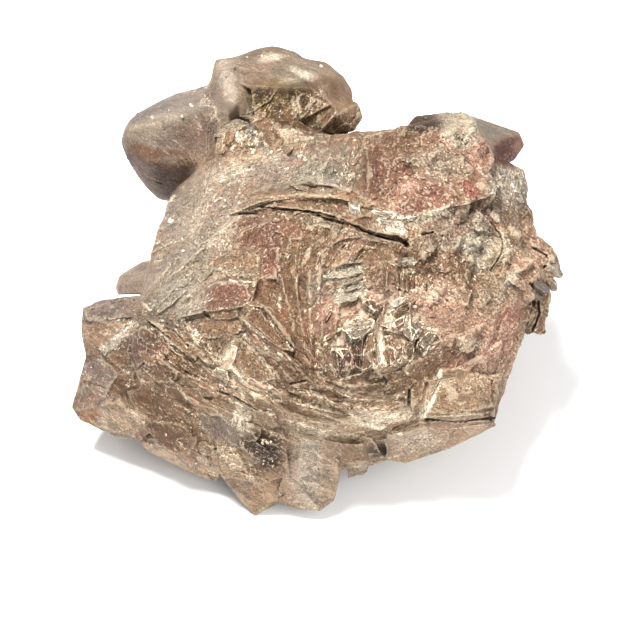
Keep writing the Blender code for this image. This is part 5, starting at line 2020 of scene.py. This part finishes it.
class Made:
    """A shader node that was just made, with easy outputs."""

    def __init__(self, paint: "Paint", node: bpy.types.Node) -> None:
        """Keeps the node and the paint that it belongs to."""
        self.paint = paint
        self.node = node

    def out(self, name: str | int = 0) -> Term:
        """One of the node's outputs."""
        return Term(self.paint, self.node.outputs[name])


class Paint:
    """A material's nodes, written as expressions."""

    def __init__(self, name: str) -> None:
        """Starts a material with one Principled shader.

        Args:
            name: the material's name.
        """
        self.material = bpy.data.materials.new(name)
        self.material.use_nodes = True
        self.tree = self.material.node_tree
        self.shader = self.tree.nodes["Principled BSDF"]

    def node(self, kind: str, settings: dict | None = None, inputs: dict | None = None) -> Made:
        """Adds a node.

        Args:
            kind: the node's type.
            settings: the node's own properties, set before its sockets.
            inputs: socket names or numbers, each with a value or a link.

        Returns:
            The new node.
        """
        node = self.tree.nodes.new(kind)
        for name, value in (settings or {}).items():
            setattr(node, name, value)
        for name, value in (inputs or {}).items():
            self.feed(node.inputs[name], value)
        return Made(self, node)

    def feed(self, socket: bpy.types.NodeSocket, value: "Term | float | tuple") -> None:
        """Gives a socket a link or a value."""
        if isinstance(value, Term):
            self.tree.links.new(value.socket, socket)
        else:
            socket.default_value = value

    def attribute(self, name: str) -> Made:
        """A stored attribute of the mesh."""
        return self.node("ShaderNodeAttribute", {"attribute_name": name})

    def split(self, colour: Term) -> tuple[Term, Term, Term]:
        """The three channels of a colour or vector."""
        parts = self.node("ShaderNodeSeparateXYZ", {}, {0: colour})
        return parts.out(0), parts.out(1), parts.out(2)

    def scaled(self, vector: Term, factors: tuple[float, float, float]) -> Term:
        """A vector times one factor for each axis."""
        settings = {"operation": "MULTIPLY"}
        return self.node("ShaderNodeVectorMath", settings, {0: vector, 1: factors}).out()

    def noise(self, place: Term, scale: float, detail: float, rough: float) -> Term:
        """Soft noise from 0 to 1."""
        inputs = {"Vector": place, "Scale": scale, "Detail": detail, "Roughness": rough}
        return self.node("ShaderNodeTexNoise", {}, inputs).out("Fac")

    def cells(self, place: Term, scale: float) -> Made:
        """Cells of a Voronoi pattern."""
        return self.node("ShaderNodeTexVoronoi", {}, {"Vector": place, "Scale": scale})

    def step(self, value: Term, low: float, high: float) -> Term:
        """A smooth step from 0 at low to 1 at high, or down where low is the larger.

        Args:
            value: what is stepped.
            low: where the step is 0.
            high: where it is 1.

        Returns:
            The step.
        """
        settings = {"interpolation_type": "SMOOTHSTEP"}
        inputs = {"Value": value, "From Min": low, "From Max": high}
        return self.node("ShaderNodeMapRange", settings, inputs).out()

    def mixed(self, first: Term | tuple, second: Term | tuple, share: Term | float) -> Term:
        """Two colours mixed."""
        made = self.node("ShaderNodeMix", {"data_type": "RGBA"}, {0: share, 6: first, 7: second})
        return made.out(2)

    def shaded(self, colour: Term, light: Term) -> Term:
        """A colour made darker or lighter by a value."""
        grey = self.node("ShaderNodeCombineXYZ", {}, {0: light, 1: light, 2: light}).out()
        return self.node("ShaderNodeVectorMath", {"operation": "MULTIPLY"}, {0: colour, 1: grey}).out()


def rgba(colour: tuple[int, int, int]) -> tuple[float, float, float, float]:
    """A screen colour for a colour socket."""
    red, green, blue = (float(c) for c in linear(colour))
    return red, green, blue, 1.0


@dataclass(frozen=True)
class TarnishedPyrite:
    """Brown brassy metal with red oxide and pale dust in its seams, with painted highlights on its convex
    edges, painted glints, and painted shade in its hollows and cracks.
    """

    cream: tuple[int, int, int] = (240, 224, 196)
    # the colour of the painted shade in hollows and cracks
    painted_shade: tuple[int, int, int] = (58, 42, 33)
    rust: tuple[int, int, int] = (158, 92, 72)
    # the colour of the painted highlights along convex edges
    edge_highlight: tuple[int, int, int] = (206, 192, 164)
    # the colour of the painted glints
    painted_glint: tuple[int, int, int] = (255, 246, 226)

    def material(self) -> bpy.types.Material:
        """Builds the material.

        Returns:
            The finished material.
        """
        paint = Paint("tarnished_pyrite")
        place = paint.node("ShaderNodeTexCoord").out("Object")
        place = paint.scaled(place, (1000.0, 1000.0, 1000.0))
        grain = paint.attribute("grain").out("Vector")
        seam, tone, crack = paint.split(paint.attribute("breaks").out("Color"))
        smooth = paint.attribute("breaks").out("Alpha")
        fine, broad, _ = paint.split(paint.attribute("relief").out("Color"))
        tint = paint.attribute("tint").out("Color")
        metal, dust, powder = paint.split(paint.attribute("shine").out("Color"))

        streak = paint.noise(paint.scaled(grain, (0.45, 3.2, 1.0)), 1.0, 4.0, 0.65)
        speck = paint.noise(place, 3.2, 4.0, 0.85)
        cloud = paint.noise(place, 0.2, 4.0, 0.6)
        blot = paint.noise(place, 0.5, 3.0, 0.6)
        crumb = paint.cells(paint.scaled(grain, (2.4, 5.2, 3.6)), 1.0)
        spark, salt, _ = paint.split(crumb.out("Color"))
        rough_share = 1.0 - smooth * 0.75
        worn_share = smooth * (1.15 - smooth) * 3.0
        veil = paint.noise(paint.scaled(grain, (0.35, 0.8, 0.6)), 1.0, 6.0, 0.7)
        scratch = paint.noise(paint.scaled(grain, (0.3, 3.4, 1.0)), 1.0, 4.0, 0.7)

        light = 0.44 + tone * 0.18 + (streak - 0.5) * 0.45 + (speck - 0.5) * 1.6
        light = light + (spark - 0.5) * 0.5 * rough_share + (cloud - 0.5) * 0.45
        light = light + (paint.step(veil, 0.46, 0.54) - 0.5) * worn_share * 0.24
        colour = paint.shaded(tint, light)
        rust = paint.step(blot + (cloud - 0.5) * 0.8 + (speck - 0.5) * 0.7, 0.56, 0.74) * 0.18
        colour = paint.mixed(colour, rgba(self.rust), rust * (1.0 - smooth * 0.7))
        # painted shade: darker in the hollows and creases of the relief
        painted_recess_shade = paint.step(fine + broad * 0.5 + (speck - 0.5) * 0.6, 0.58, 0.3)
        colour = paint.mixed(colour, rgba(self.painted_shade), painted_recess_shade * 0.26 * (1.0 - powder))
        # painted highlight: lighter along the convex edges of the relief
        edge = paint.step(fine + (speck - 0.5) * 0.9, 0.6, 0.84)
        colour = paint.mixed(colour, rgba(self.edge_highlight), edge * 0.3 * (1.0 - smooth * 0.9))
        grit = (speck - 0.5) * 1.8 + (spark - 0.5) * 0.6
        vein = paint.step(seam + grit, 0.42, 0.95) * 0.8
        cover = paint.step(dust + grit + (cloud - 0.5) * 0.6, 0.4, 0.85) * 0.72
        lodged = paint.step(fine + broad * 0.5 + (speck - 0.5) * 0.9, 0.6, 0.36) * powder * 0.5
        pale = 1.0 - (1.0 - vein) * (1.0 - cover) * (1.0 - lodged)
        pale = pale * (1.0 - smooth * 0.4)
        pale = pale + paint.step(scratch + (veil - 0.5) * 0.6, 0.6, 0.72) * worn_share * 0.35
        colour = paint.mixed(colour, rgba(self.cream), pale)
        # painted glints: sparse bright cells mixed into the colour
        painted_glint = paint.step(salt + (cloud - 0.5) * 0.12 + metal * 0.03, 0.975, 1.0) * rough_share
        colour = paint.mixed(colour, rgba(self.painted_glint), painted_glint * 0.35)
        # painted shade inside the cracks, which are also sunk into the skin
        colour = paint.mixed(colour, rgba(self.painted_shade), crack * 0.8)
        paint.feed(paint.shader.inputs["Base Color"], colour)

        shine = metal * (1.0 - pale * 0.8) * (1.0 - crack)
        paint.feed(paint.shader.inputs["Metallic"], shine)
        rough = 0.58 - metal * 0.25 + (spark - 0.5) * 0.3 + (speck - 0.5) * 0.3 + pale * 0.15
        rough = rough - painted_glint * 0.2
        paint.shader.inputs["Specular IOR Level"].default_value = 0.25
        paint.feed(paint.shader.inputs["Roughness"], rough)
        relief = streak * 0.5 + speck * 0.9 + crumb.out("Distance") * 0.6 * rough_share
        bump = paint.node("ShaderNodeBump", {}, {
            "Strength": 0.7, "Distance": 0.0004, "Height": relief,
        })
        paint.feed(paint.shader.inputs["Normal"], bump.out())
        return paint.material


# ---------------- stage


@dataclass(frozen=True)
class Lamp:
    """A square light: its place (u, v, w) and side in mm, and its power in watts."""

    name: str
    spot: tuple[float, float, float]
    size: float
    power: float


@dataclass
class Studio:
    """Floor, camera and soft lights."""

    paper: tuple[float, float, float, float] = (0.86, 0.86, 0.86, 1.0)
    sky: float = 0.7
    sensor: float = 36.0
    view_width: float = 128.0
    lamps: tuple[Lamp, ...] = (
        Lamp("key", (-80, 210, 240), 90.0, 3.5),
        Lamp("fill", (200, -20, 260), 260.0, 0.9),
    )

    def build(self) -> None:
        """Puts up the stage."""
        self.floor()
        self.camera()
        self.lights()

    def floor(self) -> None:
        """A wide pale floor."""
        form = bmesh.new()
        bmesh.ops.create_grid(form, x_segments=1, y_segments=1, size=3.0)
        floor = shown("floor", meshed(form, "floor"))
        material = bpy.data.materials.new("pale_floor")
        material.use_nodes = True
        shader = material.node_tree.nodes["Principled BSDF"]
        shader.inputs["Base Color"].default_value = self.paper
        shader.inputs["Roughness"].default_value = 0.9
        floor.data.materials.append(material)

    def camera(self) -> None:
        """The camera straight in front of the face."""
        lens = bpy.data.cameras.new("camera")
        lens.sensor_width = self.sensor
        lens.lens = self.sensor * FACE.eye / self.view_width
        lens.clip_start = 0.01
        camera = shown("camera", lens)
        right, up, out = (Vector(axis) for axis in FACE.axes())
        turn = Matrix((right, up, out)).transposed().to_4x4()
        spot = FACE.world(np.array([[0.0, 0.0, FACE.eye]]))[0]
        camera.matrix_world = Matrix.Translation(Vector(spot)) @ turn
        bpy.context.scene.camera = camera

    def lights(self) -> None:
        """The lamps and the sky."""
        world = bpy.data.worlds.new("studio")
        bpy.context.scene.world = world
        world.use_nodes = True
        sky = world.node_tree.nodes["Background"]
        sky.inputs["Color"].default_value = (1, 1, 1, 1)
        sky.inputs["Strength"].default_value = self.sky
        for lamp in self.lamps:
            self.light(lamp)
        bpy.context.scene.view_settings.view_transform = "Standard"

    def light(self, lamp: Lamp) -> None:
        """Hangs a lamp that looks at the face's centre.

        Args:
            lamp: its place, side and power.
        """
        data = bpy.data.lights.new(lamp.name, "AREA")
        data.size = lamp.size * MM
        data.energy = lamp.power
        light = shown(lamp.name, data)
        light.location = Vector(FACE.world(np.array([lamp.spot], dtype=float))[0])
        aim = Vector(FACE.centre()) - light.location
        light.rotation_euler = aim.to_track_quat("-Z", "Y").to_euler()


def main() -> None:
    """Builds the cluster and the stage."""
    logging.basicConfig(level=logging.INFO, format="%(message)s")
    ground = Ground()
    bed = CrystalBed("pyrite_crystals", ground, 5)
    dice = random.Random(14)
    strewn = [crystal for clump in CLUMPS for crystal in clump.crystals(dice)]
    for u, v, size in PAINTED_GLINTS:
        strewn += Clump(Spot(u, v, 0.1, 0.1), 1, (size, size), (CHALK,)).crystals(dice)
    for crystal in (*MIDDLE_CRYSTALS, *FAN_BLADES, *REAR_CRYSTALS, *strewn):
        bed.add(crystal)
    crumbs = CrystalBed("pyrite_crumbs", ground, 9, 1.0)
    for crystal in Scatter().crystals():
        crumbs.add(crystal, 0.05, 0.12)
    finish = TarnishedPyrite().material()
    for piece in (*Cluster().build(), bed.finish(), crumbs.finish()):
        piece.data.materials.append(finish)
        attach(piece, "root")
        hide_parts(NODE)
        triangles = sum(len(polygon.vertices) - 2 for polygon in piece.data.polygons)
        log.info("%s: %d triangles", piece.name, triangles)
    Studio().build()


if __name__ == "__main__":
    main()
